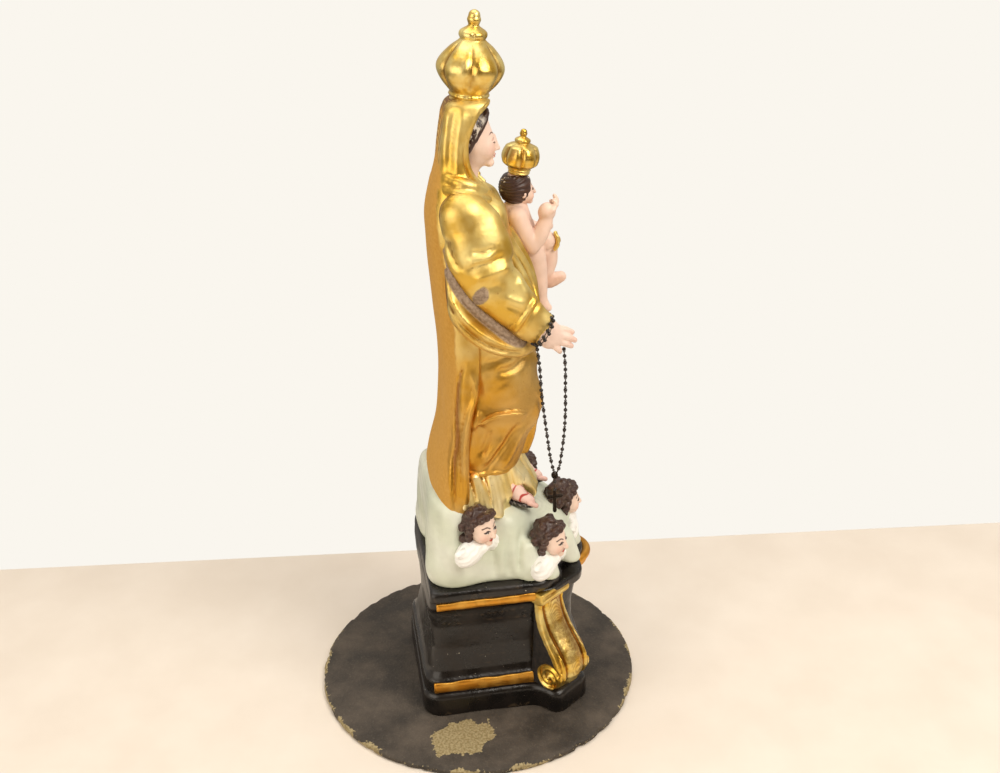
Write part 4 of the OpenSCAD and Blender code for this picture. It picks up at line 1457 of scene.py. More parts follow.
@dataclass(frozen=True)
class Cloud:
    """The pale green cloud under the feet, in soft upright folds."""

    palette: Palette
    slope: float = 22
    back_top: float = 196

    def build(self) -> None:
        """Models the cloud."""
        clay = Clay((-62, -84, 116), (62, 44, 206), 1.15)
        for s in (-1, 1):
            clay.add(Loft(((116, s * 30, 18, 22, 20), (130, s * 31, 18, 23.5, 21), (160, s * 29, 17, 23, 21),
                           (190, s * 26, 14, 21, 19), (206, s * 22, 12, 15, 15)), 2.4), 8)
            for c, r in (
                ((s * 34, -18, 137), (19, 19, 24)), ((s * 27, -50, 133), (18.5, 19, 19)),
                ((s * 22, -20, 158), (24, 22, 24)), ((s * 14, -50, 148), (20, 20, 17)),
                ((s * 39, 4, 140), (13, 14, 26)), ((s * 36, -36, 128), (15, 13, 16)),
                ((s * 38, 22, 128), (15, 16, 14)),
            ):
                clay.add(Egg(c, r), 9)
        clay.add(Egg((0, -54, 134), (22, 24, 18)), 9).add(Egg((0, 16, 158), (36, 20, 44)), 9)
        for x, y, z, r in ((-50, -36, 131, 8), (-49, -50, 126, 8), (50, -30, 132, 9), (48, -12, 146, 9),
                           (-30, -70, 126, 8), (20, -72, 128, 9), (-8, -74, 126, 9), (36, -60, 130, 9)):
            clay.add(Bone(((x, y, z - 8), (x * 0.96, y * 0.96, z + 12)), (r, r * 0.7), 1), 6)
        clay.add(Loft(((116, 0, -12, 50, 44), (127, 0, -12, 49.5, 43), (138, 0, -11, 42, 37), (146, 0, -10, 34, 30)), 2.8), 8)
        a = math.radians(self.slope)
        n = (0, -math.sin(a), math.cos(a))
        clay.keep(Wall((0, 38, self.back_top), n), 14)
        clay.keep(Wall((0, 0, 189.5), (0, 0, 1)), 6)
        clay.keep(Wall((0, 0, 117.2), (0, 0, -1)), 3)
        folds = [
            Stroke(((26, 122), (30, 145), (30, 175), (25, 192)), 3.0, -0.9),
            Stroke(((12, 122), (14, 150), (10, 176)), 3.4, -1.0),
            Stroke(((-8, 120), (-9, 136), (-6, 158)), 2.6, -1.0),
            Stroke(((-20, 121), (-19, 140), (-22, 158)), 2.2, -1.3),
            Stroke(((-27, 122), (-28, 146), (-31, 160)), 2.0, -1.1),
            Stroke(((-34, 122), (-35, 136), (-36, 154)), 2.2, -0.8),
            Stroke(((-14, 121), (-14, 150)), 3.0, 0.9),
            Stroke(((-24, 122), (-24, 150)), 2.4, 0.9),
            Stroke(((20, 122), (21, 150), (18, 178)), 4.0, 0.9),
            Stroke(((2, 122), (2, 150), (0, 172)), 4.0, 0.7),
        ]
        clay.emboss(0, -1, folds, edge=28).emboss(0, 1, folds, edge=28)
        clay.ripple(lambda x, y, z: 0.22 * np.sin(x / 5 + z / 13) * np.sin(y / 6 + 2))
        skin = Skin.of(clay)
        brush = Brush(skin, "D5DBC8")
        broad = grain(skin.points, 40, 21)
        brush.lay("E1E5D7", smooth(-0.2, 0.9, broad)).lay("C6CEB6", smooth(0.1, 0.9, -broad) * 0.5)
        # Painted shade: darker and greener towards the foot, where the cloud sits on the cornice.
        brush.lay("B9C2A4", smooth(124, 116, skin.points[:, 2]) * 0.6)
        piece = brush.done(chip=np.full(len(skin.points), 0.03)).make("cloud_carving", self.palette.cloud)
        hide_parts("cloud")


@dataclass(frozen=True)
class Cherub:
    """A winged child's head, painted: brown curls, a round face and short folded wings."""

    palette: Palette
    places: tuple[tuple[str, Vec, float, float], ...] = (
        ("cherub_right_back", (-51, 1, 169), -48, 1),
        ("cherub_right_front", (-44, -52, 147), -34, 1),
        ("cherub_front", (0, -71, 152), 6, -1),
        ("cherub_left", (44, -46, 156), 55, -1),
    )
    size: float = 1.14

    def head(self) -> Skin:
        """The face and neck, looking along -Y, with its centre at the origin."""
        clay = Clay((-12, -15, -17), (12, 12, 14), 0.42)
        clay.add(Egg((0, 0.5, 2.5), (9.2, 9.6, 9.6))).add(Egg((0, -3, -2.5), (7.8, 7.6, 8.4)), 3)
        for s in (-1, 1):
            clay.add(Egg((s * 4.2, -6.3, -3.6), (3.5, 3.2, 3.4)), 2.5)
            clay.cut(Egg((s * 3.5, -10.9, 1.2), (2.3, 1.5, 1.2)), 1.4)
            clay.add(Egg((s * 3.5, -8.8, 0.9), (1.9, 1.3, 1.1)), 0.5)
            clay.add(Egg((s * 1.1, -11.3, -2.5), (0.9, 0.9, 0.7)), 0.8)
        clay.add(Bone(((0, -9.8, 1.5), (0, -12.2, -2.3)), (0.9, 1.2), 1), 1.2)
        clay.add(Egg((0, -10.2, -5.1), (1.9, 0.9, 0.55)), 0.5).add(Egg((0, -10.0, -6.2), (1.5, 0.9, 0.6)), 0.5)
        clay.add(Egg((0, -8.6, -8.9), (2.4, 2.2, 2.0)), 2)
        clay.add(Bone(((0, 0, -8), (0, 2, -15)), (5.5, 6), 1), 3)
        skin = Skin.of(clay)
        brush = Brush(skin, "F0D5C3")
        for s in (-1, 1):
            brush.lay("E7AE9A", brush.spot((s * 5, -8.6, -3.4), (2.8, 3, 2.6), 0.8) * 0.55)
            brush.lay("F6F0E6", brush.spot((s * 3.5, -9.8, 0.9), (1.7, 1.5, 0.9), 0.15))
            brush.lay("2A1A14", brush.spot((s * 3.4, -10.2, 0.9), (0.75, 1.6, 0.8), 0.2))
            lash = ((s * 1.7, 1.1), (s * 3.4, 2.0), (s * 5.4, 1.0))
            brow = ((s * 1.6, 3.4), (s * 3.6, 4.5), (s * 6.2, 3.5))
            front = smooth(-5, -7, skin.points[:, 1])
            brush.lay("2E1C16", brush.line((0, 2), lash, 0.42) * front)
            brush.lay("4A3026", brush.line((0, 2), brow, 0.4) * front)
        front = smooth(-8, -9, skin.points[:, 1])
        brush.lay("C0392F", brush.spot((0, -10.6, -5.6), (2.0, 1.6, 1.15), 0.2) * front)
        return brush.done()

    def curls(self) -> Skin:
        """The cap of short curls: each a small coiled lock."""
        clay = Clay((-14, -13, -13), (14, 14, 17), 0.5)
        clay.add(Egg((0, 3.0, 3.6), (10.0, 9.2, 10.2)))
        clay.cut(Egg((0, -10.5, -0.5), (8.6, 11, 10.4)), 1.5)
        clay.cut(Wall((0, 0, -5), (0, -0.4, 1)), 1.5)
        ring = [
            (-8.6, -3.4, 7.0), (-5.4, -6.8, 9.6), (-1.4, -8.2, 10.8), (2.8, -8.0, 10.4), (6.6, -6.0, 9.0),
            (9.2, -2.6, 6.2), (10.0, -1.8, 1.6), (9.9, -1.0, -3.0), (9.0, -0.2, -7.4), (-10.0, -2.0, 2.4),
            (-10.2, -1.2, -2.4), (-9.4, -0.4, -7.0), (-9.8, 3.5, -9), (9.4, 4, -9), (0, 9, -6),
            (-6, 8, -7), (6, 8, -7), (-10, 5, 0), (10, 5, 1), (-7, 2, 11), (0, 0, 13.6), (7, 3, 11),
            (0, 9, 8), (-6, 9, 3), (6, 9, 3),
        ]
        for i, (x, y, z) in enumerate(ring):
            clay.add(Egg((x * 0.95, y * 0.9 + 1.8, z * 0.94), (3.0, 2.7, 2.8), (0, 0, 40 * i)), 1.2)
            clay.cut(Egg((x * 1.17, y * 1.12 + 1.6, z * 1.1), (0.6, 0.8, 0.6)), 1.0)
        clay.ripple(lambda x, y, z: 0.2 * np.sin(1.5 * z + 1.6 * np.sin(x * 0.45) + 0.5 * y))
        skin = Skin.of(clay)
        # Painted highlight: lighter brown on the raised curls.
        brush = Brush(skin, "3A241E").lay("4E342A", smooth(0.55, 0.8, skin.values["proud"]) * 0.5)
        return brush.done(chip=np.full(len(skin.points), 0.06))

    def wings(self, seed: int) -> Skin:
        """Two short wings folded under the chin, each of overlapping feathers."""
        clay = Clay((-27, -15, -28), (27, 13, -5), 0.55)
        for s in (-1, 1):
            clay.add(Egg((s * 9.5, -1.5, -15.5), (12.0, 7.6, 7.6), (0, s * 20, 0)), 2)
            for i in range(7):
                t = i / 6
                a = (s * (3 + 5 * t), -7.5 + 3.5 * t, -12.4 + 1.6 * t)
                b = (s * (9.5 + 11.5 * t), -5.5 + 4.5 * t, -19.0 + 7.2 * t)
                clay.add(Bone((a, b), (2.4, 2.1), 1), 1.0)
        clay.add(Egg((0, -4, -12.5), (5, 5, 4)), 3)
        clay.ripple(lambda x, y, z: 0.18 * np.sin(2.0 * (z + 0.55 * np.abs(x)) + 0.8 * np.sin(x)) + 0 * y)
        skin = Skin.of(clay)
        # Painted shade: grey in the creases between the feathers.
        brush = Brush(skin, "F6F6F2").lay("C9C8BE", smooth(0.46, 0.25, skin.values["proud"]) * 0.7)
        return brush.done()

    def build(self) -> None:
        """Places the four heads round the cloud."""
        parts = (("face", self.head(), self.palette.flesh, "flesh_paint"),
                 ("curls", self.curls(), self.palette.hair, "hair_paint"),
                 ("wings", self.wings(SEED), self.palette.cloud, "cloud_paint"))
        for name, at, turn, flip in self.places:
            m = turn_matrix((8, 0, turn)) @ np.diag([flip, 1.0, 1.0]) * self.size
            for part, skin, finish, slot in parts:
                piece = skin.moved(m, at).make(f"{name}_{part}", finish)
                if part == "face":
                    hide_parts(name)


# ---------------------------------------------------------------- the gown


@dataclass(frozen=True)
class Gown:
    """The gilt robe, mantle, veil and sleeves, with their folds."""

    palette: Palette
    low: Vec = (-58, -66, 160)
    high: Vec = (58, 42, 478)
    cell: float = 1.1
    back: tuple[Flat, ...] = (
        (160, 34), (181, 32), (198, 29), (222, 23), (247, 20), (287, 19), (318, 21), (348, 23),
        (371, 24), (389, 24), (409, 20), (426, 15.5), (446, 11), (459, 6), (470, 2),
    )
    half_width: tuple[Flat, ...] = (
        (160, 49), (181, 49), (198, 48.5), (222, 46.5), (247, 44), (287, 40), (318, 38), (348, 33),
        (371, 29), (389, 28), (409, 25.5), (426, 20), (446, 18.5), (459, 17), (470, 14),
    )

    def slab(self, low: float, high: float, deep: float, power: float) -> Loft:
        """The flat-backed body of the mantle between two heights."""
        zs = [z for z, _ in self.back if low <= z <= high]
        backs, widths = dict(self.back), dict(self.half_width)
        return Loft(tuple((z, 0, backs[z] - deep, widths[z], deep) for z in zs), power)

    def dress(self, clay: Clay, name: str, nodes: Sequence[str], finish: bpy.types.Material | None = None,
              **masks: Callable[[np.ndarray], np.ndarray]) -> None:
        """Turns clay into a gilt piece, with its ochre painted and its matt brown laid on: painted shade in slits, and
        worn patches.
        """
        skin = Skin.of(clay)
        for key, mask in masks.items():
            skin.values[key] = np.clip(mask(skin.points), 0, 1)
        piece = skin.make(name, finish or self.palette.gold)
        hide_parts(*nodes)

    def ochre(self, p: np.ndarray) -> np.ndarray:
        """Where the flat back is plain ochre: behind a line drawn down each side."""
        line = eased(p[:, 2], (180, 195, 210, 240, 262, 281, 315, 348, 372, 394, 411, 416, 437, 454, 470),
                     (21, 21, 21, 16.5, 14, 12, 11.5, 14, 17, 19, 16.5, 16, 15, 12.5, 9))
        inner = np.where(p[:, 2] > 412, 1.5, 0)
        return smooth(-0.6, 0.9, p[:, 1] - line + inner + 0.5 * grain(p, 7, 31))

    def mantle(self) -> None:
        """The mantle: a flat back that turns forward in a long fold down each side."""
        clay = Clay(self.low, (self.high[0], self.high[1], 424), self.cell)
        clay.add(self.slab(160, 426, 20, 3.2))
        clay.keep(Wall((0, 0, 421), (0, 0, 1)), 9)
        clay.keep(Curtain((160, 200, 226, 256, 274, 290, 330, 372, 400, 424),
                          (7, 6.5, 5.5, 1, -3, -5, -4, 2, -4, -4)), 3)
        near = [
            Stroke(((4, 298), (10, 279), (12.5, 256), (13.5, 233), (16.5, 217), (18, 194), (18, 178)), 1.4, -1.5, taper=0.1),
            Stroke(((2, 290), (-1, 272), (4, 256), (7.5, 242), (9.5, 226), (10, 205), (10, 182)), 1.9, 2.6, taper=0.15),
        ]
        clay.emboss(0, -1, near, edge=24).emboss(0, 1, near, edge=24)
        clay.ripple(lambda x, y, z: 0.12 * np.sin(z / 7 + y / 3) * np.sin(x / 8 + 1))

        # Matt brown as painted shade: in the slit under the sleeve, and faintly in the side groove.
        def gap_shade(p: np.ndarray) -> np.ndarray:
            slit = from_path(p[:, 1], p[:, 2], ((13, 372), (10, 357), (4, 343), (-6, 331), (-16, 321)))[0]
            groove = from_path(p[:, 1], p[:, 2], ((9, 285), (12, 256), (13.5, 233), (16.5, 217), (18, 194)))[0]
            return smooth(3.8, 2.4, slit) * (p[:, 1] < 17) + smooth(1.3, 0.6, groove) * 0.25 * (p[:, 1] < 17)

        self.dress(clay, "mantle_carving", ["mantle"], ochre=self.ochre, lining=gap_shade)

    def veil(self) -> None:
        """The veil over the head: it frames the face and falls in rolls on the shoulders."""
        clay = Clay((-40, -30, 396), (40, 28, 474), 0.72)
        rows = ((400, 0, 0.5, 28.5, 20.5), (412, 0, -0.5, 25, 19.5), (426, 0, -2.5, 20.8, 18), (440, 0, -4, 19.4, 17.5),
                (452, 0, -6, 18.6, 17.5), (461, 0, -7, 17, 16.5), (466, 0, -7.5, 14.5, 14), (468.5, 0, -7.8, 11, 10))
        clay.add(Loft(rows, 3.0))
        clay.keep(Curtain((396, 407, 416, 426, 436, 446, 455, 464, 470),
                          (-22, -15, -5.5, -1.5, -1, -3.8, -9.6, -17, -30)), 2.0)
        window = Egg((0, -23, 436.5), (14.4, 26, 23.5))
        clay.cut(window, 1.5)
        for s in (-1, 1):
            for c, r in (
                (((s * 19, 10, 419), (s * 25, 3, 417), (s * 25, -6, 414), (s * 18, -15, 409)), 4.0),
                (((s * 22, 11, 412), (s * 29, 4, 411), (s * 29, -6, 408), (s * 20, -17, 403)), 3.8),
            ):
                clay.add(Bone(c, (r * 0.5, r * 0.9, r, r * 0.55)), 2.5)
            clay.add(Bone(((0, -21, 463.6), (s * 7, -19.4, 463.2), (s * 12.6, -14.4, 460.6)), (1.3, 1.3, 1.4)), 1.2)
            clay.add(Bone(((s * 12.5, -15, 463), (s * 15.6, -7.6, 452), (s * 16.4, -3.2, 440), (s * 15.6, -4, 426),
                           (s * 14, -9, 415), (s * 9.5, -18, 406)), (1.3, 1.8, 2.0, 2.0, 2.0, 1.6)), 1.4)
        strokes = [
            Stroke(((1.5, 466), (4.6, 452), (6.6, 438), (8, 424), (8, 418)), 3.2, -1.2, taper=0.15),
            Stroke(((-2.5, 464), (1, 450), (3, 438), (4, 424), (4, 418)), 3.4, 1.1, taper=0.2),
            Stroke(((7.5, 466), (9.5, 452), (11.5, 438), (12, 424)), 3.0, 0.8, taper=0.2),
        ]
        clay.emboss(0, -1, strokes, edge=9).emboss(0, 1, strokes, edge=9)

        def gap_shade(p: np.ndarray) -> np.ndarray:
            return 0 * p[:, 0]

        self.dress(clay, "veil_carving", ["veil"], ochre=self.ochre, lining=gap_shade)

    def robe(self) -> None:
        """The robe: chest, and the skirt drawn over the bent right knee."""
        clay = Clay(self.low, (self.high[0], self.high[1], 420), self.cell)
        rows = (
            (170, 0, -8, 36, 24), (192, 0, -6, 38, 27), (207, 0, -9, 38, 30), (223, 0, -12, 37.5, 33),
            (235, 0, -15, 37.5, 35.5), (248, 0, -16.5, 37.5, 35.5), (262, 0, -17, 37, 34), (279, 0, -17, 37, 33),
            (300, 0, -15, 37, 30), (330, 0, -13, 35, 26), (360, 0, -12, 33, 23.5), (372, 0, -11.5, 32, 22.5),
            (386, 0, -10.5, 31, 20.5), (396, 0, -9, 29, 17.5), (403, 0, -8, 24, 14), (409, 0, -7, 16, 10),
            (413, 0, -7, 12, 8),
        )
        clay.add(Loft(rows, 2.3))
        for s in (-1, 1):
            clay.add(Egg((s * 30, -1, 394), (11, 13, 13)), 7)
        clay.add(Egg((-13, -22, 390), (11, 6, 10)), 9).add(Egg((12, -22, 390), (11, 6, 10)), 9)
        clay.add(Egg((-17, -37, 248), (13, 15, 19)), 8)
        for c, r in (
            (((-24, -28, 371), (-22, -36, 352), (-24, -43, 336), (-28, -46, 326)), 3.4),
            (((-14, -31, 372), (-12, -41, 352), (-14, -46, 336), (-20, -48, 325)), 3.6),
            (((-4, -33, 374), (-2, -42, 354), (-4, -47, 338), (-8, -49, 322)), 4.4),
            (((6, -35, 350), (6, -44, 338), (4, -48, 326)), 5),
        ):
            clay.add(Bone(c, (r * 0.7,) + (r,) * (len(c) - 2) + (r * 0.8,)), 3.0)
        for path, r in (
            (((-33, -30, 250), (-34, -10, 250), (-36, 2, 246)), 3.0),
            (((-10, -49, 236), (-8, -44, 214), (-6, -36, 192)), 3.6),
            (((8, -49, 250), (12, -42, 222), (14, -33, 192)), 4.0),
            (((24, -36, 262), (27, -34, 226), (27, -26, 190)), 4.2),
            (((36, -14, 280), (38, -12, 232), (37, -8, 192)), 3.6),
        ):
            clay.add(Bone(path, (r * 0.5, r, r)), 4.5)
        near = [
            Stroke(((-3, 268), (-1, 251), (2, 237), (5, 219), (6, 206)), 2.6, 2.2),
            Stroke(((-1, 244), (-9, 249.5), (-20, 252), (-31, 251), (-40, 247)), 6.0, 3.6, Cut.LAP, 0.12),
            Stroke(((-34, 243), (-26, 232), (-16, 219), (-7, 207), (-2, 200)), 2.8, -2.6),
            Stroke(((-40, 240), (-33, 229), (-25, 215), (-18, 203)), 2.6, 1.9),
            Stroke(((-22, 234), (-13, 221), (-4, 209)), 3.0, 2.0),
            Stroke(((-12, 240), (-8, 228), (-2, 216)), 2.4, -1.8),
            Stroke(((8, 205), (-4, 203), (-14, 203.5), (-26, 201)), 1.5, 1.6, taper=0.1),
            Stroke(((-30, 296), (-18, 292), (-6, 290)), 3.4, -1.8),
            Stroke(((-40, 292), (-28, 284), (-14, 284)), 4.0, -2.6),
            Stroke(((-4, 290), (-8, 276), (-9, 262)), 3.4, 1.2),
            Stroke(((-20, 274), (-24, 266), (-26, 256)), 6.0, 0.9),
        ]
        clay.emboss(0, -1, near, edge=12)
        far = [
            Stroke(((-2, 290), (-3, 250), (2, 206)), 3.0, -2.4),
            Stroke(((-12, 288), (-14, 246), (-8, 204)), 3.0, 1.8),
            Stroke(((-22, 280), (-24, 240), (-18, 204)), 2.8, -2.0),
        ]
        clay.emboss(0, 1, far, edge=12)
        front = [
            Stroke(((-30, 262), (-20, 240), (-16, 214), (-20, 192)), 3.0, -2.2),
            Stroke(((-2, 292), (0, 262), (-1, 226), (2, 192)), 2.8, -2.6),
            Stroke(((18, 290), (19, 252), (21, 214), (20, 190)), 3.0, -2.4),
            Stroke(((30, 284), (31, 246), (33, 200)), 2.6, -1.8),
            Stroke(((-24, 288), (-8, 278), (8, 282), (24, 294)), 3.4, 2.0),
            Stroke(((0, 405), (-1, 392), (0, 380)), 4.0, -1.4),
            Stroke(((-18, 400), (-12, 386), (-4, 374)), 2.4, -0.9),
            Stroke(((18, 400), (12, 386), (4, 374)), 2.4, -0.9),
        ]
        clay.emboss(1, -1, front, edge=6)
        clay.cut(Egg((0, -16, 415), (9.5, 11, 8.5)), 2)
        clay.keep(Wall((0, 10, 0), (0, 1, 0)), 2)
        clay.keep(Wall((0, 0, 200.5), (0, 0, -1)), 1.5)
        clay.ripple(lambda x, y, z: 0.14 * np.sin(z / 6 + y / 4) * np.sin(x / 7 + y / 9))

        # Matt brown as painted shade in the slit between the sleeve and the mantle roll.
        def gap_shade(p: np.ndarray) -> np.ndarray:
            slit = from_path(
                p[:, 1], p[:, 2], ((13, 368), (10, 356), (3, 342), (-7, 330), (-17, 320), (-27, 310), (-36, 304))
            )[0]
            return smooth(4.4, 3.0, slit) * (p[:, 0] < -16) * (p[:, 2] > 300)

        self.dress(clay, "robe_carving", ["robe"], lining=gap_shade)

    def under_robe(self) -> None:
        """The under-robe's fluted hem, which spreads over both feet."""
        clay = Clay((-50, -62, 150), (50, 30, 214), 0.9)
        clay.add(Loft(((150, 0, -6, 38, 26), (176, 0, -10, 38, 27), (192, 0, -9, 36, 26), (206, 0, -8, 33, 24),
                       (214, 0, -8, 28, 20))))
        a = math.radians(22)
        lobes = (
            ((-41, 13, 201), (-43, 9, 184), 6.6), ((-39.5, 2, 202), (-43, -3, 178), 6.6),
            ((-36, -10, 200), (-40, -12, 171), 6.4), ((-32, -18, 200), (-33, -21, 182), 5.0),
            ((-26, -25, 202), (-24, -32, 188), 5.0), ((-16, -31, 200), (-15, -41, 172), 6.4),
            ((-6, -34, 200), (-6, -44, 172), 6.0), ((5, -35, 200), (4, -45, 172), 6.0),
            ((15, -34, 200), (15, -42, 176), 6.0), ((25, -28, 200), (27, -36, 176), 6.0),
            ((34, -16, 200), (37, -22, 176), 6.0), ((38, -2, 200), (41, -4, 182), 6.0),
            ((40, 12, 198), (41, 10, 186), 5.0),
        )
        for top, foot, r in lobes:
            clay.add(Bone((top, foot), (r * 0.6, r * 1.05), 1), 5.0)
        clay.keep(Wall((0, 38, 191 - 0.5), (0, math.sin(a), -math.cos(a))), 1)
        hem = [Stroke(((y, 205), (y - 3, 190), (y - 5, 172)), 1.0, -1.0) for y in (12, 6, 1, -5, -10, -17, -24, -29)]
        clay.emboss(0, -1, hem, edge=24).emboss(0, 1, hem, edge=24)
        pleats = [Stroke(((x, 205), (x * 1.08, 188), (x * 1.14, 170)), 1.0, -1.0) for x in (-28, -22, -15, -9, -1, 6, 13, 20, 28)]
        clay.emboss(1, -1, pleats, edge=16)
        for c in ((-25, -34, 173), (14, -48, 167)):
            clay.cut(Egg(c, (8.4, 15, 8.6), (14, 0, 0)), 1.5)
        self.dress(clay, "under_robe_carving", ["under_robe"], self.palette.pale_gold)

    def swag(self) -> None:
        """The mantle's gathered edge, drawn forward under the right sleeve and across the front."""
        clay = Clay((-58, -62, 286), (50, 26, 366), 0.85)
        path = ((-32, 17, 358), (-37, 12, 343), (-40, 4, 327), (-40, -8, 314), (-38, -22, 305), (-33, -34, 300),
                (-20, -44, 298), (-2, -48, 298), (16, -46, 303), (30, -38, 314))
        clay.add(Bone(path, (4, 7.2, 9.0, 9.4, 8.8, 7.6, 6.6, 6.2, 6.4, 6.0), 5, (1, 1, 1)), 0)
        near = [
            Stroke(((16, 350), (10, 336), (0, 324), (-12, 314), (-24, 307), (-36, 303)), 2.6, 2.6, taper=0.12),
            Stroke(((17, 345), (11, 331), (1, 318), (-12, 308), (-26, 302), (-38, 298)), 1.7, -1.9, taper=0.12),
            Stroke(((14, 338), (8, 324), (-3, 311), (-16, 303), (-28, 299)), 1.8, 1.5, taper=0.12),
            Stroke(((8, 346), (2, 334), (-8, 324), (-18, 316), (-30, 309)), 1.6, -1.6, taper=0.12),
        ]
        clay.emboss(0, -1, near, edge=26)
        # A dull filler in the slit above the roll, which makes the gap shallow; the mask below paints it matt brown as
        # painted shade.
        clay.add(Bone(((-34, 13, 366), (-38.5, 11, 357), (-41, 4, 343), (-42, -6, 331), (-42, -16, 321),
                       (-41, -26, 312), (-39, -34, 306)), (2.5, 3.6, 4.2, 4.2, 4.2, 3.8, 2.5)), 1.0)
        front = [
            Stroke(((-30, 301), (-12, 297), (8, 298), (28, 308)), 1.6, -1.5),
            Stroke(((-30, 306), (-12, 302), (8, 303), (26, 312)), 1.6, 1.2),
        ]
        clay.emboss(1, -1, front, edge=34)
        clay.keep(Wall((0, 16, 0), (0, 1, 0)), 2)

        # Matt brown as painted shade along the slit.
        def gap_shade(p: np.ndarray) -> np.ndarray:
            slit = from_path(
                p[:, 1], p[:, 2], ((14, 368), (12, 357), (5, 344), (-5, 332), (-15, 322), (-25, 313), (-35, 307))
            )[0]
            return smooth(4.6, 3.4, slit) * (p[:, 0] < -20)

        self.dress(clay, "mantle_roll", ["mantle_swag"], lining=gap_shade)

    def sleeve(self, side: Side) -> None:
        """One loose sleeve, wrinkled at the elbow and gathered at the wrist."""
        s = side.value
        if side is Side.RIGHT:
            low, high = (-60, -58, 300), (-14, 28, 424)
            path = ((-30, 1, 399), (-33, -4, 386), (-36, -7, 372), (-39.5, -12, 357), (-41.5, -21, 343),
                    (-42, -32, 331), (-42, -40, 321.5),
                    (-42, -48, 315.8))
            radii = (13, 20.5, 22.6, 20.2, 17.2, 15.0, 13.8, 11.6)
            wrist, way = (-42, -48.6, 314.4), (0, -0.809, -0.588)
        else:
            low, high = (8, -54, 316), (60, 28, 424)
            path = ((30, 1, 399), (34, -4, 386), (38, -7, 372), (41, -10, 358), (39, -22, 347), (35, -32, 340))
            radii = (13, 19, 20, 18, 15, 12)
            wrist, way = (33.5, -36, 339), (-0.3, -0.92, -0.2)
        clay = Clay(low, high, 0.95)
        clay.add(Bone(path, radii, 5, (0.62, 1, 1)), 0)
        clay.add(Egg((s * 31, 2, 398), (12, 15, 13)), 6)
        clay.keep(Wall(wrist, way), 1.5)
        near = [
            Stroke(((1, 378), (-8, 377.5), (-17, 380)), 1.8, -1.5),
            Stroke(((6, 364), (-4, 368), (-13, 370), (-24, 374)), 2.4, -1.6),
            Stroke(((4, 371), (-6, 373), (-15, 374)), 2.2, 1.3),
            Stroke(((2, 358), (-8, 361), (-18, 364), (-28, 366)), 2.4, 1.5),
            Stroke(((-4, 352), (-12, 353), (-20, 354)), 2.6, -1.0),
            Stroke(((-26, 372), (-30, 362), (-31, 352)), 2.6, -1.3),
            Stroke(((-28, 362), (-34, 352), (-38, 342)), 2.6, 1.3),
            Stroke(((-20, 346), (-28, 342), (-36, 338)), 2.4, 1.0),
            Stroke(((-48, 339), (-42, 334), (-36, 326), (-30, 315)), 1.5, -1.3, taper=0.12),
            Stroke(((-45, 341), (-38, 334), (-32, 326), (-27, 316)), 1.4, 1.2, taper=0.12),
            Stroke(((-41, 342), (-35, 335), (-29, 327), (-24, 319)), 1.2, -0.8, taper=0.12),
            Stroke(((-36, 330), (-28, 336), (-20, 340)), 1.6, -0.9),
            Stroke(((14, 388), (12, 376), (6, 362)), 3.0, -1.6),
        ]
        clay.emboss(0, s, near, edge=22)
        mouth = tuple(tuple(np.array(wrist) + step * np.array(way)) for step in (4.5, 12))
        clay.cut(Bone(mouth, (9.0, 11.0), 1), 1.0)
        clay.ripple(lambda x, y, z: 0.16 * np.sin(z / 5 + y / 6) * np.sin(y / 5 - z / 9))

        def bare(p: np.ndarray) -> np.ndarray:
            if side is Side.LEFT:
                return 0 * p[:, 0]
            q = turn_matrix((0, 0, -28))[:2, :2] @ (p[:, 1:] - np.array((-5.5, 346.5))).T
            near_patch = np.sqrt((q[0] / 5.0) ** 2 + (q[1] / 8.2) ** 2) + 0.07 * grain(p, 6, 41)
            patch = (1 - smooth(0.86, 1.0, near_patch)) * (p[:, 0] < -40)
            return patch

        self.dress(clay, f"sleeve_{side.name.lower()}_carving", [f"sleeve_{side.name.lower()}"], lining=bare)

    def build(self) -> None:
        """Models the whole gown."""
        self.mantle()
        self.robe()
        self.under_robe()
        self.swag()
        self.veil()
        for side in Side:
            self.sleeve(side)


# ---------------------------------------------------------------- the figures


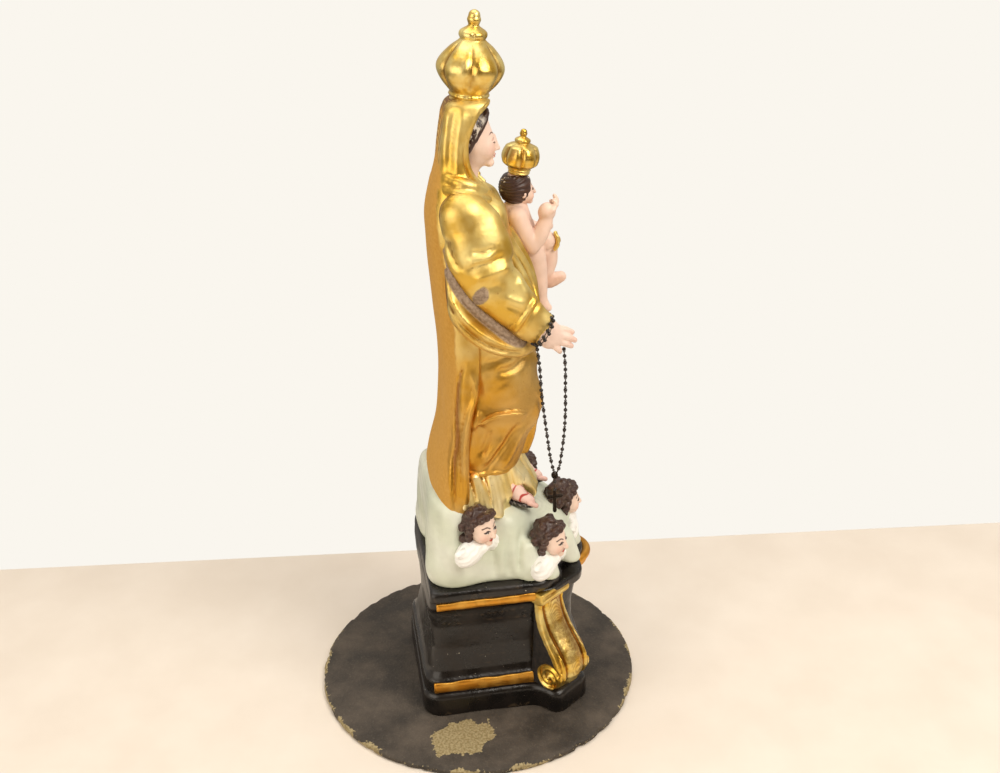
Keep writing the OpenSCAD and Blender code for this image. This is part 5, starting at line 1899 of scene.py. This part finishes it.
@dataclass(frozen=True)
class VirginHead:
    """The Virgin's head: calm, eyes lowered, with dark hair under the veil."""

    palette: Palette
    at: Vec = (0, -11, 440)
    nod: float = 5.0

    def place(self, skin: Skin) -> Skin:
        """Tips the head forward a little and sets it on the neck."""
        return skin.moved(turn_matrix((self.nod, 0, 0)), self.at)

    def face(self) -> Skin:
        """Carves the face on plain proportions: the eyes halfway up, the mouth a third below."""
        clay = Clay((-15, -21, -42), (15, 17, 26), 0.42)
        clay.add(Egg((0, 3, 4), (12.4, 13.4, 16.4))).add(Egg((0, -3.4, -5.5), (9.6, 11.4, 13.6)), 4)
        for s in (-1, 1):
            clay.add(Egg((s * 5.4, -8.6, -6), (3.8, 3.8, 5.2)), 4)
            clay.cut(Egg((s * 4.4, -15.4, -0.4), (3.1, 2.2, 1.9)), 2.2)
            clay.add(Egg((s * 4.4, -12.2, -1.0), (2.7, 1.75, 1.6)), 0.6)
            clay.add(Egg((s * 1.5, -14.6, -7.4), (1.15, 1.2, 0.9)), 0.9)
        clay.add(Bone(((0, -13.3, 1.4), (0, -15.0, -3.4), (0, -16.7, -6.9)), (1.1, 1.25, 1.45), 3), 1.6)
        clay.add(Egg((0, -14.2, -10.9), (2.7, 1.0, 0.75)), 0.6).add(Egg((0, -13.9, -12.4), (2.3, 1.1, 0.85)), 0.6)
        clay.add(Egg((0, -11.2, -17.0), (3.6, 3.4, 2.9)), 3)
        clay.add(Bone(((0, 1, -14), (0, 3.5, -26), (0, 3.5, -41)), (7.6, 7.3, 8.4), 3), 4)
        skin = Skin.of(clay)
        brush = Brush(skin, "EFD3C3")
        front = smooth(-8, -10, skin.points[:, 1])
        for s in (-1, 1):
            brush.lay("E6AC9A", brush.spot((s * 6.4, -11.4, -6.4), (3.6, 4, 4), 0.9) * 0.5)
            lid = ((s * 1.9, -1.5), (s * 4.4, -2.5), (s * 6.9, -1.2))
            crease = ((s * 2.2, 0.3), (s * 4.5, 1.0), (s * 6.9, 0.0))
            brow = ((s * 1.8, 3.4), (s * 4.6, 4.7), (s * 7.8, 3.4))
            brush.lay("3B2822", brush.line((0, 2), lid, 0.42) * front)
            brush.lay("B98A78", brush.line((0, 2), crease, 0.32) * front * 0.7)
            brush.lay("4A342A", brush.line((0, 2), brow, 0.42) * front)
            brush.lay("C98F7E", brush.spot((s * 1.5, -15.6, -8.1), (0.6, 0.9, 0.45), 0.4) * 0.8)
        lips = brush.spot((0, -14.8, -11.0), (2.6, 1.8, 0.95), 0.2) + brush.spot(
            (0, -14.6, -12.3), (2.1, 1.8, 1.0), 0.2
        )
        brush.lay("B83A34", np.clip(lips, 0, 1) * front)
        brush.lay("7E2523", brush.line((0, 2), ((-2.6, -11.5), (0, -11.7), (2.6, -11.5)), 0.24) * front)
        return brush.done()

    def hair(self) -> Skin:
        """Waved hair, parted in the middle and drawn back over the temples."""
        clay = Clay((-18, -18, -24), (18, 16, 26), 0.5)
        clay.add(Egg((0, 3.0, 4.0), (13.6, 14.4, 17.4)))
        clay.keep(Curtain((-22, -11, -6, 1, 12, 19, 26), (9, 6.8, 4.7, 0.1, -6.6, -9.4, -13)), 1.0)
        for s in (-1, 1):
            clay.add(Bone(((s * 1.5, -7.4, 18.0), (s * 7.6, -5.2, 14.0), (s * 11.2, 0.6, 4.0), (s * 11.7, 5.2, -5),
                           (s * 10.4, 8.2, -13)), (1.6, 2.2, 2.5, 2.3, 1.8)), 1.6)
        clay.cut(Wall((0, 0, -17), (0, 0.3, 1)), 1.5)
        clay.ripple(lambda x, y, z: 0.18 * np.sin(1.9 * (np.abs(x) * 0.8 - y * 0.9) + 0.8 * np.sin(z * 0.55)))
        skin = Skin.of(clay)
        p = skin.points
        # Painted highlight: lighter brown on the raised waves.
        brush = Brush(skin, "33201A").lay("452D24", smooth(0.55, 0.8, skin.values["proud"]) * 0.5)
        line = eased(p[:, 2], (-22, -11, -6, 1, 12, 19, 26), (9, 6.8, 4.7, 0.1, -6.6, -9.4, -13))
        by_veil = smooth(1.5, 4.0, p[:, 1] - line) * smooth(-13, -8, p[:, 2]) * smooth(18, 12, p[:, 2])
        bare = smooth(0.05, 0.2, grain(p * np.array((1, 1.3, 0.7)), 5.0, 77)) * by_veil
        brush.lay("E9E0D2", bare * 0.9)
        return brush.done(chip=by_veil * 0.5)

    def build(self) -> None:
        """Sets the head and the hair in place."""
        face = self.place(self.face()).make("virgin_face", self.palette.flesh)
        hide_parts("virgin_head")
        hair = self.place(self.hair()).make("virgin_hair", self.palette.hair)


@dataclass(frozen=True)
class Hands:
    """Both of the Virgin's hands: the right held out, the left under the Child."""

    palette: Palette

    def right(self) -> None:
        """The right hand, palm inward and fingers loosely bent."""
        clay = Clay((-56, -80, 290), (-28, -36, 332), 0.42)
        clay.add(Bone(((-42, -38, 321.5), (-42, -46, 316.5), (-42, -50, 314.5)), (9.0, 8.6, 8.3), 3, (0.86, 1, 1)))
        clay.add(Bone(((-42, -50, 314.5), (-42, -57, 309.6)), (8.4, 7.4), 1, (0.7, 1, 1)), 3)
        clay.add(Egg((-42, -53, 307.5), (5.2, 6.6, 7), (30, 0, 0)), 3)
        fingers = (
            (((-41.5, -57, 314.5), (-41, -63.5, 313.2), (-40, -69, 310.4)), (3.0, 2.6, 1.9)),
            (((-43, -58, 311), (-43.5, -65, 308.8), (-42, -70.5, 305.2)), (3.1, 2.7, 1.9)),
            (((-43, -57, 307.4), (-44, -63.5, 304.4), (-42.5, -68, 301.2)), (3.0, 2.6, 1.8)),
            (((-43, -54.5, 304.4), (-44.5, -58.4, 300.6), (-43.5, -59.8, 298.0)), (2.7, 2.3, 1.6)),
            (((-38.5, -51, 311), (-35.5, -57, 306.5), (-35.5, -61.5, 303)), (3.2, 2.8, 2.1)),
        )
        for points, radii in fingers:
            clay.add(Bone(points, radii, 4), 0.9)
        skin = Skin.of(clay)
        # Painted shade: deeper pink in the hollows between the fingers.
        brush = Brush(skin, "EFD3C4").lay("D9A594", smooth(0.42, 0.2, skin.values["proud"]) * 0.7)
        tips = brush.spot((-42, -70, 305), (8, 4, 9), 0.6)
        brush.lay("E4B3A2", tips * 0.4)
        piece = brush.done(chip=np.full(len(skin.points), 0.04)).make("right_hand_carving", self.palette.flesh)
        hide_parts("hand_right")

    def left(self) -> None:
        """The left hand, spread under the Child's thigh."""
        clay = Clay((8, -64, 322), (44, -30, 352), 0.5)
        clay.add(Bone(((35, -33, 340), (30, -41, 337)), (6.4, 6.2), 1, (1, 1, 0.8)))
        clay.add(Bone(((30, -41, 337), (24, -48, 335)), (6.6, 5.8), 1, (1, 1, 0.62)), 2)
        for i, reach in enumerate((0.0, 1.4, 1.2, -0.6)):
            x, y = 28 - 4.1 * i, -45.5 - 1.3 * i
            clay.add(Bone(((x + 1, y, 335.5), (x - 1.5, y - 6 - reach, 335), (x - 3, y - 10 - reach, 337)),
                          (2.5, 2.2, 1.6), 3), 0.9)
        skin = Skin.of(clay)
        # Painted shade: deeper pink in the hollows between the fingers.
        brush = Brush(skin, "EFD3C4").lay("D9A594", smooth(0.42, 0.2, skin.values["proud"]) * 0.7)
        piece = brush.done().make("left_hand_carving", self.palette.flesh)
        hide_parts("hand_left")

    def build(self) -> None:
        """Models both hands."""
        self.right()
        self.left()


@dataclass(frozen=True)
class Feet:
    """The bare feet in black-soled sandals with thin red straps."""

    palette: Palette
    places: tuple[tuple[str, Vec, float], ...] = (("right", (-25, -28, 171), -12), ("left", (14, -42, 165), 12))

    def foot(self) -> Skin:
        """One foot pointing along -Y, with its toes and straps."""
        clay = Clay((-9, -21, -1), (9, 14, 20), 0.45)
        clay.add(Bone(((0, 8, 6), (0, 4, 10), (0, -1, 8.5)), (6, 6.2, 5.4), 3))
        clay.add(Bone(((0, -1, 6), (-0.3, -9, 4.2), (-0.3, -12, 3.4)), (5.2, 4.6, 3.6), 3, (1.15, 1, 0.9)), 3)
        for i in range(5):
            x = -4.2 + 2.1 * i
            tip = -16.5 + 0.7 * i + (0.3 if i else -0.6)
            clay.add(Bone(((x, -11.5, 3.0), (x, tip, 2.0)), (1.9, 1.5 if i else 1.9), 1), 0.5)
        clay.keep(Wall((0, 0, 0.2), (0, 0, -1)), 0.5)
        skin = Skin.of(clay)
        p = skin.points
        # Painted light: paler on the top of the foot and pinker near the sole; the deeper pink in the hollows between
        # the toes is painted shade.
        brush = Brush(skin, "E9BEB2").lay("F0D3C8", smooth(3, 9, p[:, 2]))
        brush.lay("D79A8C", smooth(0.44, 0.2, skin.values["proud"]) * 0.6)
        top = smooth(2.0, 3.2, p[:, 2])
        straps = np.zeros(len(p))
        for path in (((-6, -4), (0, -9.5), (6, -4)), ((0, -14), (0, -9.5), (0, -2)), ((-6, 2.5), (0, 0), (6, 2.5))):
            straps = np.maximum(straps, brush.line((0, 1), path, 0.55))
        brush.lay("B93B34", straps * top)
        return brush.done()

    def sole(self) -> Skin:
        """The thin dark sole under one foot."""
        count = 48
        a = np.linspace(0, 2 * np.pi, count, endpoint=False)
        rows = []
        for r, z in ((0.2, -0.9), (0.9, -0.9), (1.0, -0.3), (1.0, 1.2), (0.93, 1.7), (0.2, 1.75)):
            waist = 1 - 0.16 * np.exp(-(((np.sin(a) - 0.15) / 0.3) ** 2))
            rows.append(np.stack([7.2 * r * waist * np.cos(a), -3.5 + 14 * r * np.sin(a), z + 0 * a], 1))
        skin = sheet_skin(np.array(rows))
        skin.values["proud"] = np.full(len(skin.points), 0.5)
        return Brush(skin, "1E1713").done(chip=np.full(len(skin.points), 0.3))

    def build(self) -> None:
        """Places both feet on their soles."""
        foot, sole = self.foot(), self.sole()
        for name, at, turn in self.places:
            m = turn_matrix((14, 0, turn))
            piece = foot.moved(m, at).make(f"{name}_foot_carving", self.palette.flesh)
            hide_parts(f"foot_{name}")
            piece = sole.moved(m, at).make(f"{name}_sole", self.palette.sandal)
            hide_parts(f"sandal_{name}")


@dataclass(frozen=True)
class Child:
    """The Child, seated on the left arm: bare, plump, with a cloth at the hip."""

    palette: Palette

    def body(self) -> None:
        """The trunk, arms and legs, carved as one block."""
        clay = Clay((-4, -84, 300), (44, -28, 394), 0.55)
        clay.add(Bone(((20, -41, 380), (20, -43, 370), (21, -47, 358), (22, -50, 352)), (9.4, 10.6, 11.4, 11), 4))
        clay.add(Bone(((20, -42, 388), (20, -42, 380)), (5.2, 6.5), 1), 2.5)
        for x in (10.5, 29.5):
            clay.add(Egg((x, -41, 379), (6.2, 6.4, 6)), 3)
        clay.add(Bone(((9.5, -41, 378), (7, -45, 367), (6.4, -49.5, 358.5)), (6.8, 7.0, 6.8), 4), 2)
        clay.add(Bone(((6.4, -49.5, 358.5), (7, -56, 366), (8.4, -60.5, 374.5)), (6.6, 6.2, 5.0), 4), 1.2)
        clay.add(Egg((9, -61.5, 381), (6.0, 6.2, 6.8), (20, 0, 0)), 1.4)
        for points, radii in (
            (((6.4, -64, 384), (6.8, -67.6, 386.6), (7.6, -66, 389.4)), (2.1, 1.9, 1.4)),
            (((9.2, -64.6, 384), (9.6, -68.4, 388.0), (10.2, -67.2, 392.0)), (2.1, 1.9, 1.4)),
            (((12.2, -64, 383), (12.6, -66.8, 385.4), (12.6, -65.2, 387.6)), (2.0, 1.8, 1.3)),
            (((4.6, -61.0, 381), (4.0, -64.6, 383.4), (5.0, -66.4, 384.4)), (2.0, 1.8, 1.3)),
        ):
            clay.add(Bone(points, radii, 3), 0.6)
        clay.add(Bone(((30.5, -42, 378), (34, -48, 368), (35, -54, 362)), (5.8, 5.3, 5.0), 4), 2)
        clay.add(Bone(((35, -54, 362), (32, -60, 361), (29, -64, 363)), (4.8, 4.3, 3.6), 4), 1.2)
        clay.add(Egg((27.6, -66, 364), (3.6, 3.6, 3.3)), 1.2)
        clay.add(Bone(((16, -49, 352), (16, -53, 346), (15.5, -54.5, 338)), (9.4, 8.8, 7.8), 4), 3)
        clay.add(Bone(((15.5, -54.5, 338), (15.5, -56.5, 326), (15.5, -58, 315)), (7.6, 6.4, 4.4), 4), 1.5)
        clay.add(Bone(((15.5, -58, 313), (15, -60.5, 308), (15, -63, 306)), (4.5, 3.9, 2.9), 3), 1.2)
        clay.add(Bone(((27, -52, 352), (28, -60, 350.5), (28.5, -65, 346)), (9.4, 8.4, 7.4), 4), 3)
        clay.add(Bone(((28.5, -65, 346), (29, -66, 337), (28.5, -64, 328)), (7.6, 6.8, 5.4), 4), 1.5)
        clay.add(Bone(((28, -60, 322.5), (28, -67, 322), (28, -75, 324)), (5.4, 6.0, 4.2), 3, (0.8, 1, 1)), 1.2)
        clay.add(Egg((23, -63, 355), (7.4, 7.4, 7.0)), 1.5)
        skin = Skin.of(clay)
        # Painted shade: deeper pink in the creases and hollows.
        brush = Brush(skin, "EDCFBE").lay("D39F8B", smooth(0.43, 0.2, skin.values["proud"]) * 0.75)
        brush.lay("DBAE93", brush.spot((23, -67, 321), (5, 12, 7), 0.4) * 0.7)
        for c in ((15.5, -66, 340), (28.5, -72, 346), (6, -50, 356)):
            brush.lay("E3B09C", brush.spot(c, (5, 5, 5), 0.8) * 0.4)
        piece = brush.done(chip=np.full(len(skin.points), 0.03)).make("child_body", self.palette.flesh)
        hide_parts("child_torso", "child_arm_right", "child_arm_left", "child_leg_right", "child_leg_left")

    def head(self) -> None:
        """The head: a round plain face in front and short combed hair behind."""
        at = (20, -43, 396)
        clay = Clay((-12, -16, -16), (12, 13, 16), 0.42)
        clay.add(Egg((0, 1, 1.5), (9.8, 10.4, 11))).add(Egg((0, -3.5, -3.5), (7.8, 7.6, 8.4)), 3)
        for s in (-1, 1):
            clay.add(Egg((s * 4.3, -7, -4.6), (3.5, 3.2, 3.4)), 2.5)
            clay.cut(Egg((s * 3.5, -11.6, 0.2), (2.3, 1.5, 1.2)), 1.4)
            clay.add(Egg((s * 3.5, -9.5, -0.1), (1.9, 1.3, 1.1)), 0.5)
            clay.add(Egg((s * 9.4, -1.5, -2), (1.3, 2.0, 2.6)), 1)
        clay.add(Bone(((0, -10.4, 0.6), (0, -12.6, -3.2)), (0.9, 1.2), 1), 1.2)
        clay.add(Egg((0, -10.9, -6.1), (1.8, 0.9, 0.55)), 0.5).add(Egg((0, -10.7, -7.1), (1.5, 0.9, 0.6)), 0.5)
        clay.add(Egg((0, -9.2, -9.6), (2.4, 2.2, 2.0)), 2)
        clay.add(Bone(((0, 0, -9), (0, 1, -15)), (5, 5.4), 1), 2)
        skin = Skin.of(clay)
        front = smooth(-7, -9, skin.points[:, 1])
        brush = Brush(skin, "F0D3C2")
        for s in (-1, 1):
            brush.lay("E7AE9A", brush.spot((s * 5, -9.2, -4.2), (2.8, 3, 2.6), 0.8) * 0.5)
            brush.lay("F6F0E6", brush.spot((s * 3.5, -10.5, -0.1), (1.7, 1.5, 0.9), 0.15))
            brush.lay("2A1A14", brush.spot((s * 3.5, -10.9, -0.1), (0.75, 1.6, 0.8), 0.2))
            brush.lay("2E1C16", brush.line((0, 2), ((s * 1.8, 0.3), (s * 3.5, 1.1), (s * 5.4, 0.1)), 0.36) * front)
            brush.lay("4A3026", brush.line((0, 2), ((s * 1.7, 2.7), (s * 3.7, 3.6), (s * 6, 2.7)), 0.36) * front)
        brush.lay("BE3E36", brush.spot((0, -11.3, -6.6), (1.9, 1.6, 1.1), 0.2) * front)
        piece = brush.done().moved(turn_matrix((3, 0, 8)), at).make("child_face", self.palette.flesh)
        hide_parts("child_head")
        clay = Clay((-14, -14, -15), (14, 16, 14), 0.45)
        clay.add(Egg((0, 1.8, 1.0), (11.4, 11.6, 12.2)))
        clay.cut(Egg((0, -12, -4), (8.2, 10.5, 10.2)), 1.5)
        clay.cut(Wall((0, 0, -11), (0, 0.35, 1)), 2)
        clay.keep(Wall((0, 0, 10.4), (0, 0, 1)), 1)
        clay.ripple(lambda x, y, z: 0.24 * np.sin(2.0 * z + 1.3 * np.sin(0.35 * y + 0.2 * x) + 0.12 * y * z)
                    * smooth(-15, -6, z))
        skin = Skin.of(clay)
        # Painted highlight: lighter brown on the raised locks.
        brush = Brush(skin, "38221B").lay("563A2D", smooth(0.6, 0.85, skin.values["proud"]) * 0.5)
        piece = brush.done(chip=0.9 * smooth(0.5, 0.8, grain(skin.points * (0.25, 0.25, 1.0), 3.4, 5))).moved(
            turn_matrix((3, 0, 8)), at
        )
        piece.make("child_hair", self.palette.hair)

    def cloth(self) -> None:
        """The gilt-edged cloth across the lap."""
        clay = Clay((8, -80, 336), (42, -42, 368), 0.55)
        clay.add(Bone(((12, -52, 356), (17, -58, 358), (23, -62, 357), (30, -62, 354), (34, -56, 351)),
                      (3.0, 3.4, 3.2, 4.2, 4.0), 4))
        clay.add(Bone(((19, -69, 349), (19, -71.5, 355), (20, -69.5, 361)), (1.4, 1.8, 1.4), 3), 1.0)
        clay.add(Bone(((31, -60, 354), (33, -64, 346)), (3.8, 3.0), 1), 2)
        clay.ripple(lambda x, y, z: 0.35 * np.sin(1.6 * x + 0.8 * z) * np.sin(0.5 * y))
        skin = Skin.of(clay)
        skin.values["lining"] = np.zeros(len(skin.points))
        piece = skin.make("child_cloth_carving", self.palette.gold)
        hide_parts("child_cloth")

    def build(self) -> None:
        """Models the Child."""
        self.body()
        self.head()
        self.cloth()


@dataclass(frozen=True)
class Crown:
    """A closed, lobed crown: a beaded ring, a swelling bulb, a collar and a finial."""

    palette: Palette
    name: str
    node_name: str
    base: Vec
    lean: float
    radius: float
    height: float
    lobes: int = 6
    groove: float = 0.11
    plump: float = 0.1

    def profile(self) -> list[Flat]:
        """The outline as shares of the radius and the height."""
        return [
            (0.10, 0.000), (0.50, 0.000), (0.57, 0.012), (0.585, 0.030), (0.555, 0.048), (0.55, 0.060),
            (0.60, 0.075), (0.615, 0.092), (0.585, 0.110), (0.60, 0.125), (0.68, 0.165), (0.80, 0.225),
            (0.91, 0.285), (0.98, 0.340), (1.00, 0.385), (0.975, 0.430), (0.90, 0.480), (0.79, 0.530),
            (0.66, 0.580), (0.54, 0.622), (0.445, 0.655), (0.40, 0.675), (0.375, 0.690), (0.395, 0.705),
            (0.42, 0.722), (0.425, 0.745), (0.41, 0.765), (0.36, 0.785), (0.28, 0.803), (0.215, 0.818),
            (0.17, 0.832), (0.165, 0.848), (0.185, 0.868), (0.205, 0.890), (0.20, 0.910), (0.18, 0.928),
            (0.175, 0.942), (0.165, 0.958), (0.145, 0.975), (0.10, 0.990), (0.04, 1.000),
        ]

    def build(self) -> None:
        """Turns the crown, presses in its lobes and sets it on its dowel."""
        count = 144
        a = np.linspace(0, 2 * np.pi, count, endpoint=False)
        outline = curve_through(self.profile(), 2)
        rows = []
        hollow = []
        for share, up in outline:
            bulb = float(smooth(0.12, 0.24, np.array(up)) * smooth(0.70, 0.60, np.array(up)))
            upper = float(smooth(0.70, 0.73, np.array(up)) * smooth(0.81, 0.77, np.array(up)))
            wave = np.abs(np.sin(a * self.lobes / 2 + 0.35))
            groove = (1 - wave) ** 2.2
            share = share + self.plump * bulb * (1 - share)
            r = share * self.radius * (1 - self.groove * bulb * groove - 0.06 * upper * groove + 0.02 * bulb * wave)
            ring = float(np.exp(-(((up - 0.09) / 0.02) ** 2)))
            r = r + ring * 0.006 * self.radius * np.sin(a * 26)
            r = r * (1 + 0.012 * np.sin(a * 3 + up * 9) * bulb)
            rows.append(np.stack([r * np.cos(a), r * np.sin(a), up * self.height + 0 * a], 1))
            # The grooves between the lobes are set low, so that the gold lays painted shade in them.
            hollow.append(0.5 - 0.24 * bulb * groove - 0.1 * upper * groove)
        skin = sheet_skin(np.array(rows))
        values = np.concatenate([np.array(hollow).ravel(), [0.5, 0.5]])
        skin.values["proud"] = np.clip(values + 0.05 * grain(skin.points, 5), 0, 1)
        piece = skin.moved(turn_matrix((self.lean, 0, 0)), self.base).make(
            self.name + "_leafed", self.palette.crown_gold, self.name
        )
        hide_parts(self.node_name)


def dress_dowels(palette: Palette) -> None:
    """Gives the hidden dowels their bare wood."""
    for name in ("crown_dowel", "child_crown_dowel", "hand_right_dowel"):
        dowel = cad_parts[name]
        dowel.data.materials.clear()
        dowel.data.materials.append(palette.wood)


def main() -> None:
    """Builds the whole statue, from the studio and the rosary to the crowns."""
    Studio().build()
    palette = Palette()
    Rosary(palette).build()
    RoundBoard(palette).build()
    Pedestal(palette).build()
    Console(palette).build()
    Cloud(palette).build()
    Cherub(palette).build()
    Gown(palette).build()
    VirginHead(palette).build()
    Hands(palette).build()
    Feet(palette).build()
    Child(palette).build()
    Crown(palette, "virgin_crown", "virgin_crown", (0, -8, 464), 6, 22, 59).build()
    Crown(palette, "child_crown", "child_crown", (20, -44, 407), 8, 13, 31, 6, 0.15, 0.6).build()
    dress_dowels(palette)


if __name__ == "__main__":
    main()
